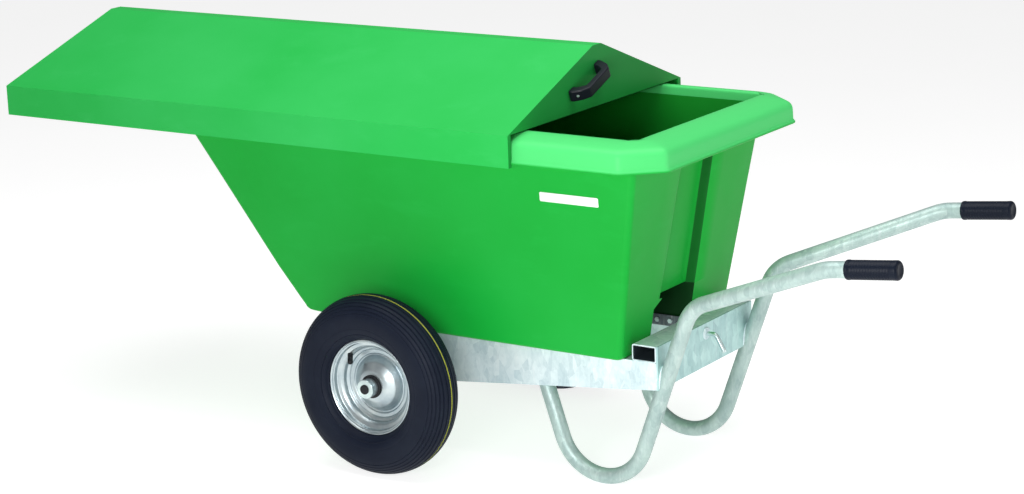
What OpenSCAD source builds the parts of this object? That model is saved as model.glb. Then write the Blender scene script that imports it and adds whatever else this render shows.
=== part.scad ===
// Two-wheeled feed barrow: a tipping plastic tub with a sliding saddle-roof lid
// on a galvanised frame whose two bent tubes are legs and handles in one.
// +X points to the handles, +Y to the left wheel, +Z up, the ground at z = 0.
// Every shape is drawn with the axle at x = 0, and at_origin() then centres the part.

/* [Tub] */
// Length of the tub's floor
tub_floor_len = 834; // [650:1:1050]
// Width of the tub's floor
tub_floor_w = 450; // [360:1:560]
// Height from the floor to the underside of the rim
tub_depth = 425; // [340:1:520]
// How far the front wall leans out over that height
front_flare = 261; // [120:1:320]
// How far the rear wall leans out
rear_flare = 71; // [20:1:110]
// How far each side wall leans out
side_flare = 45; // [15:1:70]
// Wall of the tub
tub_wall = 4.5; // [3:0.5:7]
// Radius of the tub's upright corners
tub_corner_r = 16; // [8:1:30]
// Floor length in front of the axle
tub_front_reach = 295; // [220:1:360]

/* [Rim] */
// How far the rim overhangs the tub's walls
rim_overhang = 72; // [50:1:90]
// Height of the rim from its lip to its crest
rim_h = 59; // [45:1:75]
// Height of the rim's upright band
rim_band_h = 37; // [25:1:42]
// How far the rolled lip stands proud of the band
rim_lip = 4; // [2:0.5:8]
// Length of the corner chamfer along the tub
rim_cut_x = 79; // [50:1:110]
// Length of the corner chamfer across the tub
rim_cut_y = 69; // [45:1:95]

/* [Lid] */
// Length of the lid
lid_len = 1392; // [1150:1:1700]
// How far the lid reaches past the rim at each side, wall included
lid_side_gap = 10; // [8:1:20]
// How far the open lid is slid forward from its closed, centred place
lid_open = 360; // [100:1:430]
// Height of the roof from eave to ridge
lid_rise = 132; // [90:1:180]
// Width of the flat strip along the ridge
lid_ridge_w = 33; // [10:1:80]
// Height of the skirts below the eave
lid_skirt_h = 68; // [40:1:72]
// Wall of the lid
lid_wall = 4; // [3:0.5:6]
// How far the front gable leans back
lid_front_lean = 35; // [0:1:80]

/* [Lid handle] */
// Distance between the two feet
bow_span = 109; // [90:1:140]
// How far the grip stands off the lid
bow_reach = 41; // [32:1:60]
// Width of the grip
bow_w = 21; // [14:1:28]
// Thickness of the grip
bow_t = 12; // [8:1:16]

/* [Wheels] */
// Diameter of the tyre
tyre_d = 400; // [320:1:480]
// Width of the tyre
tyre_w = 100; // [80:1:120]
// Thickness of the tyre's wall
tyre_wall = 7; // [5:1:10]
// Diameter of the rim's flange
rim_flange_d = 212; // [180:1:250]
// Free space between the tyre and the tub
wheel_clear = 62; // [50:1:90]
// Diameter of the axle
axle_d = 20; // [16:1:25]
// Length of the wheel hub
hub_len = 84; // [70:1:96]
// Outer diameter of the hub tube
hub_d = 40; // [36:1:50]

/* [Frame] */
// How far the rails stand in from the edge of the tub's floor
rail_inset = 22; // [5:1:40]
// Height of the rails' top above the axle
rail_rise = 90; // [70:1:120]
// Depth of the rail at its rear end
rail_rear_depth = 58; // [45:1:80]
// How far the rail reaches below the axle
rail_below_axle = 29; // [22:1:40]
// Length of the rail in front of the axle
rail_nose = 60; // [40:1:64]
// Thickness of the rails and the rear plate
plate_t = 4; // [3:0.5:6]
// Width of the rails' top flange
rail_flange_w = 40; // [25:1:50]
// Length of the rear cross tube's section along the tub
cross_tube_l = 58; // [45:1:75]
// Height of the rear cross tube's section
cross_tube_h = 36; // [30:1:50]
// Wall of the rear cross tube
cross_tube_wall = 3; // [2:0.5:4]

/* [Handles and legs] */
// Diameter of the tube
tube_d = 33.7; // [26:0.1:40]
// Wall of the tube
tube_wall = 2.6; // [2:0.1:4]
// Radius of the bend that stands on the ground
foot_bend_r = 106; // [90:1:125]
// How far below the rails' top the leg's middle line crosses the frame's rear end
leg_cross_drop = 74.2; // [60:0.1:110]
// Lean of the leg's front stretch from upright
leg_front_lean = 18.2; // [10:0.1:24]
// Lean of the leg's rear stretch from upright
leg_rear_lean = 20.1; // [14:0.1:24]
// Height of the upper bend above the rails
elbow_rise = 123; // [90:1:150]
// Radius of the upper bend
elbow_r = 85; // [70:1:110]
// Distance from the frame's rear end to the grip's bend
reach_x = 427; // [350:1:510]
// Height of the grip's bend above the upper bend
reach_z = 144; // [100:1:180]
// How far each handle spreads outwards
handle_splay = 89; // [40:1:120]
// Length of the grip's straight stretch
grip_run = 153; // [140:1:190]
// Slope of the grip
grip_slope = 5.8; // [0:0.1:10]
// Length of the plastic grip
grip_len = 112; // [90:1:130]
// Wall of the plastic grip
grip_wall = 3.1; // [2:0.1:6]

/* [Latch] */
// Diameter of the latch pin
pin_d = 10; // [8:1:12]
// How far the pin is pushed in to lock the tub
pin_travel = 12; // [8:1:16]
// Length of the pin's bent tail
pin_tail = 42; // [30:1:60]
// Depth of the niche in the tub's rear wall
niche_depth = 89; // [70:1:120]
// Height of the niche
niche_h = 112; // [80:1:150]

/* [Hidden] */

$fn = 64;
slice = 0.01;          // thickness of a slice that a hull joins
fine = 32;             // facets of a hull's round corners
past = 1;              // how far a cut runs past the face that it opens
seat_gap = 0.5;        // between the tub's floor and the rails
running = 0.05;        // radial clearance of a shaft in its bore
snug = 0.05;           // radial clearance of fitted pieces that stay put
side_play = 0.4;       // sideways clearance of what turns
lid_clear = 3;         // between the rim's crest and the lid's eave
cross_gap = 16;        // between the tub's floor and the rear cross tube

// Wheels and frame, from the ground up
axle_z = tyre_d / 2;
axle_r = axle_d / 2;
rail_top = axle_z + rail_rise;
tube_r = tube_d / 2;

// Tub
tub_z0 = rail_top + seat_gap;
tub_z1 = tub_z0 + tub_depth;
crest_z = tub_z1 + rim_h;
tub_rear = tub_floor_len - tub_front_reach;
function tub_t(z) = (z - tub_z0) / tub_depth;
function tub_front_x(z) = -tub_front_reach - front_flare * tub_t(z);
function tub_rear_x(z) = tub_rear + rear_flare * tub_t(z);
function tub_half_w(z) = tub_floor_w / 2 + side_flare * tub_t(z);

// Rim outline at the lip; it overhangs the end walls by a little more
rim_end_extra = 12;
rim_front = tub_front_x(tub_z1) - rim_overhang - rim_end_extra;
rim_rear = tub_rear_x(tub_z1) + rim_overhang + rim_end_extra;
rim_half_w = tub_half_w(tub_z1) + rim_overhang;

// Lid, drawn slid forward by lid_open
lid_mid = (rim_front + rim_rear) / 2 - lid_open;
lid_x0 = lid_mid - lid_len / 2;
lid_x1 = lid_mid + lid_len / 2;
lid_half_w = rim_half_w + lid_side_gap;
eave_z = crest_z + lid_clear;
ridge_z = eave_z + lid_rise;
lid_pitch = atan(lid_rise / (lid_half_w - lid_ridge_w / 2));

// Frame
frame_half_w = tub_floor_w / 2 - rail_inset;
cross_x0 = tub_rear + cross_gap;
frame_rear = cross_x0 + cross_tube_l;
cross_z1 = rail_top + cross_tube_h;
plate_z0 = rail_top - rail_rear_depth;
web_in = frame_half_w - plate_t;
wheel_y = tub_half_w(tyre_d) + wheel_clear + tyre_w / 2;

// Handle tube, as the corners of its centre line with a radius for each bend
leg_y = web_in - tube_r - snug;
foot_turn = 180 - leg_front_lean - leg_rear_lean;
foot_tangent = foot_bend_r * tan(foot_turn / 2);
touch_z = tube_r + foot_bend_r - foot_bend_r * sin(leg_front_lean);
corner_z = touch_z - foot_tangent * cos(leg_front_lean);
foot_corner = [frame_rear - (rail_top - leg_cross_drop - corner_z) * tan(leg_rear_lean), corner_z];
front_touch = [foot_corner[0] - foot_tangent * sin(leg_front_lean), touch_z];
leg_top_gap = 14;
leg_top_z = rail_top - plate_t - leg_top_gap;
leg_top_x = front_touch[0] - (leg_top_z - front_touch[1]) * tan(leg_front_lean);
elbow_z = rail_top + elbow_rise;
elbow_x = foot_corner[0] + (elbow_z - foot_corner[1]) * tan(leg_rear_lean);
bend_x = frame_rear + reach_x;
bend_z = elbow_z + reach_z;
end_x = bend_x + grip_run * cos(grip_slope);
end_z = bend_z + grip_run * sin(grip_slope);
grip_y = leg_y + handle_splay;
tube_path = [[leg_top_x, leg_y, leg_top_z], [foot_corner[0], leg_y, foot_corner[1]],
             [elbow_x, leg_y, elbow_z], [bend_x, grip_y, bend_z], [end_x, grip_y, end_z]];
grip_bend_r = 100;
tube_bends = [0, foot_bend_r, elbow_r, grip_bend_r, 0];
tube_sides = 24;

// Grips
grip_r = tube_r + snug + grip_wall;
grip_cap = 4;
grip_floor = 0.2;
grip_edge_r = 6;
grip_tip_x = end_x + (grip_cap - grip_edge_r) * cos(grip_slope)
             + (grip_r - grip_edge_r) * sin(grip_slope) + grip_edge_r;

// Hinge lugs and their bolts
lug_y = frame_half_w - 77;
lug_t = 6;
lug_eye = 14;
lug_foot_w = 36;
lug_foot_l = 90;
lug_bolt_in = 12;
lug_bolt_x = [-27, 27];
bolt_r = 4;
nut_h = 7;

// Groove in the tub's rear wall and the niche below it
groove_near = -70;
groove_far = 60;
groove_depth = 20;
niche_x0 = tub_rear - niche_depth;
niche_near = -105;
niche_far = 58;
niche_cut = 30;

// Latch pin in its bush, with its bent tail, washer and split pin
pin_z = rail_top + 14;
pin_tip = cross_x0 - 2;
bush_r = pin_d / 2 + 4;
bush_out = 4;
pin_bend_x = frame_rear + plate_t + bush_out + pin_travel + 8;
tail_lean = 60;
tail_bend_r = 12;
pin_path = [[pin_bend_x - tail_bend_r - past, 0, pin_z], [pin_bend_x, 0, pin_z],
            [pin_bend_x + pin_tail * cos(tail_lean), 0, pin_z - pin_tail * sin(tail_lean)]];
pin_sides = 20;
split_r = 1.5;
split_x = cross_x0 + pin_travel + 20;

// Keeper in the niche
catch_h = 24;
catch_t = 4;
catch_x = pin_tip - pin_travel + catch_t + 1;
catch_near = niche_near + snug;
catch_far = niche_far - snug;
catch_bolt_r = 3;
catch_bolt_z = tub_z0 + catch_h / 2;
catch_bolt_x = [niche_x0 + 16, niche_x0 + 48];

// Lid handle, on the rear gable
bow_y = -55;
bow_drop = 69;
bow_feet = [-bow_span / 2, bow_span / 2];
bow_screw_r = 2.5;

// Wheel parts
flange_r = rim_flange_d / 2;
sheet_t = 2.5;
roll_r = 3;
bead_r = flange_r - 6;
well_r = flange_r - 22;
dome_r = flange_r - 42;
dome_y = 18;
seat_y = tyre_w / 2 - 25.5;
bore_half = seat_y - 4.5;
tyre_mid_r = (axle_z + bead_r) / 2;
tyre_a = (axle_z - bead_r) / 2;
tread_cut = 3;
tread_pitch = 10;
tube_fit = 1;
hub_r = hub_d / 2;
hub_wall = 3.5;
bearing_l = 18;
washer_t = 3;
cap_t = 4;
axle_half = wheel_y + hub_len / 2 + side_play + washer_t + 1.5;
valve_angle = 135;
valve_r = 5;
valve_l = 48;
valve_lean = 18;

module at_origin() translate([-(lid_x0 + grip_tip_x) / 2, 0, 0]) children();
module both_sides() {
    children();
    mirror([0, 1, 0]) children();
}
// An X-Z outline made into a slab from y0 to y1
module slab(y0, y1) translate([0, y1, 0]) rotate([90, 0, 0]) linear_extrude(y1 - y0) children();
// A Y-Z outline made into a bar from x0 to x1
module bar(x0, x1) translate([x0, 0, 0]) rotate([90, 0, 90]) linear_extrude(x1 - x0) children();

// ---- Tub ----

module tub_slice(z, inset, front_cut = 0) {
    x0 = tub_front_x(z) + inset + front_cut;
    x1 = tub_rear_x(z) - inset;
    h = tub_half_w(z) - inset;
    r = max(tub_corner_r - inset, 3);
    for (x = [x0 + r, x1 - r], y = [r - h, h - r])
        translate([x, y, z]) cylinder(r = r, h = slice, $fn = fine);
}

// The tub's taper between two heights; the front edge of the floor is rounded off
module tub_form(inset, z0, z1) {
    nose = 14;
    hull() {
        tub_slice(z0, inset, nose);
        tub_slice(z0 + nose, inset);
        tub_slice(z1, inset);
    }
}

// Space taken out of the rear wall: the upright groove and the niche below it
module rear_hollows(grow) {
    x_low = tub_rear_x(tub_z0) - groove_depth - grow;
    x_high = tub_rear_x(tub_z1) - groove_depth - grow;
    back = tub_rear_x(tub_z1) + 60;
    slab(groove_near - grow, groove_far + grow)
        polygon([[x_low, tub_z0], [x_high, tub_z1 + grow], [back, tub_z1 + grow], [back, tub_z0]]);
    top = tub_z0 + niche_h + grow;
    near = niche_near - grow;
    far = niche_far + grow;
    bar(niche_x0 - grow, back)
        polygon([[near, tub_z0 - past], [near, top - niche_cut], [near + niche_cut, top],
                 [far, top], [far, tub_z0 - past]]);
}

// Rim outline drawn in by d: a rectangle with cut corners that keep their angle
module rim_outline(d) {
    diagonal = norm([rim_cut_x, rim_cut_y]);
    cx = rim_cut_x + d * (diagonal - rim_cut_x - rim_cut_y) / rim_cut_y;
    cy = rim_cut_y + d * (diagonal - rim_cut_x - rim_cut_y) / rim_cut_x;
    x0 = rim_front + d;
    x1 = rim_rear - d;
    h = rim_half_w - d;
    polygon([[x0 + cx, -h], [x1 - cx, -h], [x1, cy - h], [x1, h - cy],
             [x1 - cx, h], [x0 + cx, h], [x0, h - cy], [x0, cy - h]]);
}

// Sloping top of the rim, from the band in to the crest
module rim_crown(z0, z1, d0, d1) hull() {
    translate([0, 0, z0]) linear_extrude(slice) rim_outline(d0);
    translate([0, 0, z1]) linear_extrude(slice) rim_outline(d1);
}

module rim_channel() {
    band_z = tub_z1 + rim_band_h;
    crest_in = 44;
    difference() {
        union() {
            translate([0, 0, tub_z1]) linear_extrude(tub_wall) rim_outline(0);
            translate([0, 0, tub_z1]) linear_extrude(rim_band_h) rim_outline(rim_lip);
            rim_crown(band_z, crest_z, rim_lip, crest_in);
        }
        translate([0, 0, tub_z1 - past])
            linear_extrude(rim_band_h + past) rim_outline(rim_lip + tub_wall);
        rim_crown(band_z - slice, crest_z - tub_wall, rim_lip + tub_wall, crest_in);
    }
}

module tub() color([0.16, 0.66, 0.30]) difference() {
    union() {
        difference() {
            tub_form(0, tub_z0, crest_z);
            rear_hollows(0);
        }
        rim_channel();
    }
    difference() {
        tub_form(tub_wall, tub_z0 + tub_wall, crest_z + past);
        rear_hollows(tub_wall);
    }
    floor_bolt_places() translate([0, 0, -tub_wall - past])
        cylinder(r = bolt_r + snug, h = tub_wall + 2 * past);
    catch_bolt_places() translate([0, 0, -catch_t - tub_wall - past])
        cylinder(r = catch_bolt_r + snug, h = catch_t + tub_wall + past);
}

// Small plain sticker on the near side wall
module label() color("white") {
    label_w = 142;
    label_h = 20;
    z = tub_z1 - 91;
    translate([tub_rear - 162, -tub_half_w(z), z])
        rotate([atan(side_flare / tub_depth), 0, 0])
            translate([0, -0.5, 0]) cube([label_w, 0.4, label_h]);
}

// Hinge lug: a plate on the axle with a foot under the tub's floor
module pivot_lug() color("silver") {
    foot_z = tub_z0 - lug_t;
    difference() {
        union() {
            slab(lug_y, lug_y + lug_t) {
                translate([0, axle_z]) circle(r = axle_r + lug_eye);
                polygon([[-axle_r - lug_eye, axle_z], [axle_r + lug_eye, axle_z],
                         [lug_foot_l / 2, foot_z], [-lug_foot_l / 2, foot_z]]);
            }
            translate([-lug_foot_l / 2, lug_y + lug_t - lug_foot_w, foot_z])
                cube([lug_foot_l, lug_foot_w, lug_t]);
        }
        translate([0, lug_y - past, axle_z]) rotate([-90, 0, 0])
            cylinder(r = axle_r + running, h = lug_t + 2 * past);
        for (x = lug_bolt_x) translate([x, lug_y - lug_bolt_in, foot_z - past])
            cylinder(r = bolt_r + snug, h = lug_t + 2 * past);
    }
}

// Cap-head bolt pointing down -Z from its seat at z = 0
module bolt(r, length, head_h) {
    translate([0, 0, -length]) cylinder(r = r, h = length);
    cylinder(r = 1.9 * r, h = head_h, $fn = 6);
}

// Each bolt's head lies on the tub's floor, with its nut below the lug's foot
module floor_bolt_places() for (side = [-1, 1], x = lug_bolt_x)
    translate([x, side * (lug_y - lug_bolt_in), tub_z0 + tub_wall]) children();

module pivot_bolts() color("silver") floor_bolt_places() {
    bolt(bolt_r, tub_wall + lug_t + nut_h + 3, 5);
    translate([0, 0, -tub_wall - lug_t - nut_h]) difference() {
        cylinder(r = 1.9 * bolt_r, h = nut_h, $fn = 6);
        translate([0, 0, -past]) cylinder(r = bolt_r + snug, h = nut_h + 2 * past);
    }
}

// U-shaped keeper in the niche, with a hole for the latch pin
module latch_catch() color("silver") difference() {
    translate([0, 0, tub_z0]) linear_extrude(catch_h) {
        translate([catch_x - catch_t, catch_near]) square([catch_t, catch_far - catch_near]);
        for (y = [catch_near, catch_far - catch_t])
            translate([niche_x0 + snug, y]) square([catch_x - niche_x0 - snug, catch_t]);
    }
    translate([catch_x - catch_t - past, 0, pin_z]) rotate([0, 90, 0])
        cylinder(r = pin_d / 2 + 1, h = catch_t + 2 * past);
    for (x = catch_bolt_x) translate([x, catch_near - past, catch_bolt_z]) rotate([-90, 0, 0])
        cylinder(r = catch_bolt_r + snug, h = catch_far - catch_near + 2 * past);
}

module catch_bolt_places() for (x = catch_bolt_x) {
    translate([x, catch_far - catch_t, catch_bolt_z]) rotate([90, 0, 0]) children();
    translate([x, catch_near + catch_t, catch_bolt_z]) rotate([-90, 0, 0]) children();
}
module catch_bolts() color("silver") catch_bolt_places()
    bolt(catch_bolt_r, catch_t + tub_wall + 3, 3);

// ---- Lid ----

// Roof section across the lid, drawn in by d
module roof_section(d) {
    h = lid_half_w - d;
    drop = d / cos(lid_pitch);
    eave = eave_z - drop + d * tan(lid_pitch);
    ridge_half = lid_half_w - (lid_rise - d + drop) / tan(lid_pitch);
    base = eave_z - lid_skirt_h - (d > 0 ? past : 0);
    polygon([[-h, base], [-h, eave], [-ridge_half, ridge_z - d],
             [ridge_half, ridge_z - d], [h, eave], [h, base]]);
}

// Side view of the lid, drawn in by d: the front gable leans back
module lid_profile(d) {
    base = eave_z - lid_skirt_h - (d > 0 ? past : 0);
    polygon([[lid_x0 + d, base], [lid_x0 + d, eave_z], [lid_x0 + d + lid_front_lean, ridge_z],
             [lid_x1 - d, ridge_z], [lid_x1 - d, base]]);
}

module lid_form(d) intersection() {
    bar(lid_x0, lid_x1) roof_section(d);
    slab(-lid_half_w - past, lid_half_w + past) lid_profile(d);
}

module lid() color([0.20, 0.70, 0.33]) {
    runner_in = tub_half_w(crest_z) + 8;
    runner_z = crest_z + 0.6;
    difference() {
        lid_form(0);
        lid_form(lid_wall);
        translate([lid_x1 - lid_wall - past, lid_wall - lid_half_w, eave_z - lid_skirt_h - past])
            cube([lid_wall + 2 * past, 2 * (lid_half_w - lid_wall), lid_skirt_h + past]);
        for (s = bow_feet) on_gable() translate([s, 0, -lid_wall - past])
            cylinder(r = bow_screw_r + snug, h = lid_wall + 2 * past);
    }
    both_sides() translate([lid_x0 + lid_wall, runner_in, runner_z])
        cube([lid_len - 2 * lid_wall, lid_half_w - lid_wall - runner_in, lid_wall]);
}

// Local frame of the bow handle on the rear gable: X along the slope, Z off the lid
module on_gable() translate([lid_x1, bow_y, ridge_z - bow_drop])
    multmatrix([[0, 0, 1, 0], [cos(lid_pitch), -sin(lid_pitch), 0, 0],
                [sin(lid_pitch), cos(lid_pitch), 0, 0], [0, 0, 0, 1]]) children();

module lid_handle() color([0.08, 0.08, 0.11]) on_gable() {
    foot = 11;
    lean = 12;
    out = bow_span / 2;
    difference() {
        rotate([90, 0, 0]) translate([0, 0, -bow_w / 2]) linear_extrude(bow_w)
            polygon([[-out - foot, 0], [-out - foot, 8], [-out + lean, bow_reach],
                     [out - lean, bow_reach], [out + foot, 8], [out + foot, 0],
                     [out - foot + 2, 0], [out - foot + 2, 8], [out - lean - 8, bow_reach - bow_t],
                     [lean + 8 - out, bow_reach - bow_t], [foot - 2 - out, 8], [foot - 2 - out, 0]]);
        for (s = bow_feet) translate([s, 0, -past])
            cylinder(r = bow_screw_r + snug, h = 14 + past);
    }
}

module lid_handle_screws() color("silver") on_gable() for (s = bow_feet)
    translate([s, 0, -lid_wall]) mirror([0, 0, 1]) {
        cylinder(r = 2 * bow_screw_r, h = 2.5);
        translate([0, 0, -lid_wall - 12]) cylinder(r = bow_screw_r, h = lid_wall + 12);
    }

// ---- Frame ----

module rail_web_outline() {
    z_low = axle_z - rail_below_axle;
    polygon([[0, z_low], [0, rail_top], [frame_rear, rail_top], [frame_rear, plate_z0]]);
    intersection() {
        translate([0, axle_z]) circle(r = rail_rise);
        translate([-rail_nose, z_low]) square([rail_nose + slice, rail_top - z_low]);
    }
}

module rail() color("silver") difference() {
    union() {
        slab(web_in, frame_half_w) rail_web_outline();
        translate([0, frame_half_w - rail_flange_w, rail_top - plate_t])
            cube([frame_rear, rail_flange_w - plate_t / 2, plate_t]);
    }
    translate([0, web_in - past, axle_z]) rotate([-90, 0, 0])
        cylinder(r = axle_r + snug, h = plate_t + 2 * past);
}

module rear_cross_tube() color("silver") difference() {
    translate([cross_x0, -frame_half_w, rail_top])
        cube([cross_tube_l, 2 * frame_half_w, cross_tube_h]);
    translate([cross_x0 + cross_tube_wall, -frame_half_w - past, rail_top + cross_tube_wall])
        cube([cross_tube_l - 2 * cross_tube_wall, 2 * (frame_half_w + past),
              cross_tube_h - 2 * cross_tube_wall]);
    translate([cross_x0 - past, 0, pin_z]) rotate([0, 90, 0])
        cylinder(r = pin_d / 2 + running, h = cross_tube_wall + 2 * past);
    translate([frame_rear - cross_tube_wall - past, 0, pin_z]) rotate([0, 90, 0])
        cylinder(r = bush_r + snug, h = cross_tube_wall + 2 * past);
}

module rear_plate() color("silver") difference() {
    translate([frame_rear, -frame_half_w, plate_z0])
        cube([plate_t, 2 * frame_half_w, cross_z1 - plate_z0]);
    translate([frame_rear - past, 0, pin_z]) rotate([0, 90, 0])
        cylinder(r = bush_r + snug, h = plate_t + 2 * past);
    both_sides() leg_stretch(tube_r + snug);
}

// Rear stretch of the leg alone, to notch the plate that it is welded into
module leg_stretch(r) round_bar(
    [foot_corner[0], leg_y, foot_corner[1]], [elbow_x, leg_y, elbow_z], r);

module axle() color("silver") translate([0, 0, axle_z]) rotate([90, 0, 0])
    cylinder(r = axle_r, h = 2 * axle_half, center = true);

module ring(y0, y1, r_in, r_out) translate([0, y0, axle_z]) rotate([-90, 0, 0]) difference() {
    cylinder(r = r_out, h = y1 - y0);
    translate([0, 0, -past]) cylinder(r = r_in, h = y1 - y0 + 2 * past);
}

module axle_spacer() color("silver")
    ring(frame_half_w, wheel_y - hub_len / 2 - side_play, axle_r + snug, axle_r + 5);

module axle_washers() color("silver") both_sides()
    ring(wheel_y + hub_len / 2 + side_play, wheel_y + hub_len / 2 + side_play + washer_t,
         axle_r + snug, hub_r - 2);

// Black push-on caps over the axle's ends
module axle_caps() color([0.08, 0.08, 0.1]) both_sides()
    translate([0, wheel_y + hub_len / 2 + side_play + washer_t, axle_z]) rotate([-90, 0, 0])
        difference() {
            cylinder(r = axle_r + 2, h = cap_t);
            translate([0, 0, -past]) cylinder(r = axle_r + snug, h = 1.5 + past);
        }

// ---- Handle tubes ----

function unit(v) = v / norm(v);

// Straight round bar from a to b
module round_bar(a, b, r) {
    d = unit(b - a);
    translate(a) rotate([0, acos(d[2]), atan2(d[1], d[0])]) cylinder(r = r, h = norm(b - a));
}

// Points along a bend of radius r at corner p, from direction d1 to d2, and the directions there
function bend(p, d1, d2, r) = let (turn = acos(d1 * d2), inward = unit(d2 - (d1 * d2) * d1),
    start = p - r * tan(turn / 2) * d1, n = ceil(turn / 10))
    [for (i = [0:n]) let (t = turn * i / n)
        [start + r * sin(t) * d1 + r * (1 - cos(t)) * inward, cos(t) * d1 + sin(t) * inward]];

// Stations of a path with rounded corners: [point, direction] pairs
function stations(path, bends) = let (n = len(path) - 1,
    dirs = [for (i = [0:n - 1]) unit(path[i + 1] - path[i])])
    concat([[path[0], dirs[0]]],
           [for (i = [1:n - 1]) each bend(path[i], dirs[i - 1], dirs[i], bends[i])],
           [[path[n], dirs[n - 1]]]);

// Ring of points of radius r round a station, level with the Y axis
function station_ring(s, r, sides) = let (side = unit(cross(s[1], cross([0, 1, 0], s[1]))),
    up = cross(s[1], side))
    [for (k = [0:sides - 1]) let (t = 360 * k / sides) s[0] + r * cos(t) * side + r * sin(t) * up];

// Skin joining rings one after another; a closed loop of rings makes a tube with a wall
module skin(rings, sides, loop) {
    n = len(rings);
    quads = [for (i = [0:n - (loop ? 1 : 2)], k = [0:sides - 1])
        let (j = (i + 1) % n, m = (k + 1) % sides)
        [i * sides + k, i * sides + m, j * sides + m, j * sides + k]];
    ends = loop ? [] : [[for (k = [0:sides - 1]) k], [for (k = [sides - 1:-1:0]) (n - 1) * sides + k]];
    polyhedron([for (g = rings) each g], concat(quads, ends), convexity = 8);
}

module handle_tube() color([0.78, 0.82, 0.80]) {
    s = stations(tube_path, tube_bends);
    n = len(s) - 1;
    skin(concat([for (i = [0:n]) station_ring(s[i], tube_r, tube_sides)],
                [for (i = [n:-1:0]) station_ring(s[i], tube_r - tube_wall, tube_sides)]),
         tube_sides, true);
}

// Closed sleeve over the tube's end, its outer edge rounded
module grip() color([0.07, 0.08, 0.13])
    translate([end_x, grip_y, end_z]) rotate([0, 90 - grip_slope, 0]) rotate_extrude()
        polygon(concat([[tube_r + snug, grip_floor], [tube_r + snug, grip_cap - grip_len],
                        [grip_r, grip_cap - grip_len]],
                       quarter([grip_r - grip_edge_r, grip_cap - grip_edge_r],
                               grip_edge_r, grip_edge_r, 0, 90, 6),
                       [[0, grip_cap], [0, grip_floor]]));

// ---- Latch ----

module latch_bush() color("silver") translate([frame_rear - cross_tube_wall, 0, pin_z])
    rotate([0, 90, 0]) difference() {
        cylinder(r = bush_r, h = cross_tube_wall + plate_t + bush_out);
        translate([0, 0, -past])
            cylinder(r = pin_d / 2 + running, h = cross_tube_wall + plate_t + bush_out + 2 * past);
    }

// Round bar that slides in the bush, its tail bent down as a pull
module latch_pin() color("silver") difference() {
    union() {
        round_bar([pin_tip, 0, pin_z], [pin_bend_x - tail_bend_r, 0, pin_z], pin_d / 2);
        s = stations(pin_path, [0, tail_bend_r, 0]);
        skin([for (t = s) station_ring(t, pin_d / 2 - 0.02, pin_sides)], pin_sides, false);
    }
    translate([split_x, 0, pin_z]) rotate([90, 0, 0])
        cylinder(r = split_r + snug, h = pin_d + 2 * past, center = true);
}

// Washer against the split pin, inside the cross tube
module latch_washer() color("silver") translate([split_x + split_r + snug, 0, pin_z])
    rotate([0, 90, 0]) difference() {
        cylinder(r = pin_d / 2 + 5, h = 1.5);
        translate([0, 0, -past]) cylinder(r = pin_d / 2 + snug, h = 1.5 + 2 * past);
    }
module latch_split_pin() color("silver") translate([split_x, 0, pin_z]) rotate([90, 0, 0])
    cylinder(r = split_r, h = pin_d + 8, center = true);

// ---- Wheels, each drawn for the left side about the tyre's middle plane ----

module lathe() translate([0, wheel_y, axle_z]) rotate([-90, 0, 0]) rotate_extrude($fn = 96) children();

// Full, slightly square round section
function squircle(a, b, n) = [for (i = [0:n - 1]) let (t = 360 * i / n, c = cos(t), s = sin(t))
    [a * sign(c) * pow(abs(c), 0.85), b * sign(s) * pow(abs(s), 0.85)]];

module tyre() color([0.07, 0.07, 0.10]) lathe() difference() {
    translate([tyre_mid_r, 0]) polygon(squircle(tyre_a, tyre_w / 2, 56));
    translate([tyre_mid_r, 0]) polygon(squircle(tyre_a - tyre_wall, tyre_w / 2 - tyre_wall, 40));
    // Open to the rim between the beads, and clear of its seats and flanges
    translate([0, -bore_half]) square([tyre_mid_r, 2 * bore_half]);
    translate([0, -tyre_w]) square([bead_r + snug, 2 * tyre_w]);
    for (s = [0, 1]) mirror([0, s]) translate([0, seat_y - snug]) square([flange_r + 0.5, tyre_w]);
    for (i = [-2.5:1:2.5]) translate([axle_z - tread_cut, i * tread_pitch - tread_cut / 2])
        square([tread_cut + past, tread_cut]);
}

module inner_tube() color([0.12, 0.12, 0.13]) lathe() difference() {
    translate([tyre_mid_r, 0])
        polygon(squircle(tyre_a - tyre_wall - tube_fit, tyre_w / 2 - tyre_wall - tube_fit, 40));
    translate([tyre_mid_r, 0])
        polygon(squircle(tyre_a - tyre_wall - tube_fit - 2, tyre_w / 2 - tyre_wall - tube_fit - 2, 40));
}

// Pressed rim: a barrel with a well and rolled flanges, and a disc that bulges out to the hub
function strip(p, t) = let (n = len(p) - 1, m = [for (i = [0:n])
    let (d = unit(p[min(i + 1, n)] - p[max(i - 1, 0)])) p[i] + t * [-d[1], d[0]]])
    concat(p, [for (i = [n:-1:0]) m[i]]);
function quarter(c, a, b, t0, t1, n) = [for (i = [0:n]) let (t = t0 + (t1 - t0) * i / n)
    c + [a * cos(t), b * sin(t)]];
module rim() color([0.85, 0.87, 0.88]) {
    half = concat([[well_r, 7], [bead_r, 13], [bead_r, seat_y]],
                  quarter([flange_r - roll_r, seat_y + roll_r], roll_r, roll_r, -90, 60, 6));
    barrel = concat([for (i = [len(half) - 1:-1:0]) [half[i][0], -half[i][1]]], half);
    disc = concat([[well_r - sheet_t / 2, -1], [well_r - 8, -3], [dome_r + 6, -8]],
                  quarter([hub_r, -8], dome_r - hub_r, dome_y + 8, 0, 84, 10),
                  [[hub_r + 2 * snug, dome_y]]);
    difference() {
        lathe() {
            polygon(strip(barrel, sheet_t));
            polygon(strip(disc, sheet_t));
        }
        place_valve() cylinder(r = valve_r + 1, h = valve_l);
    }
}

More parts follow.
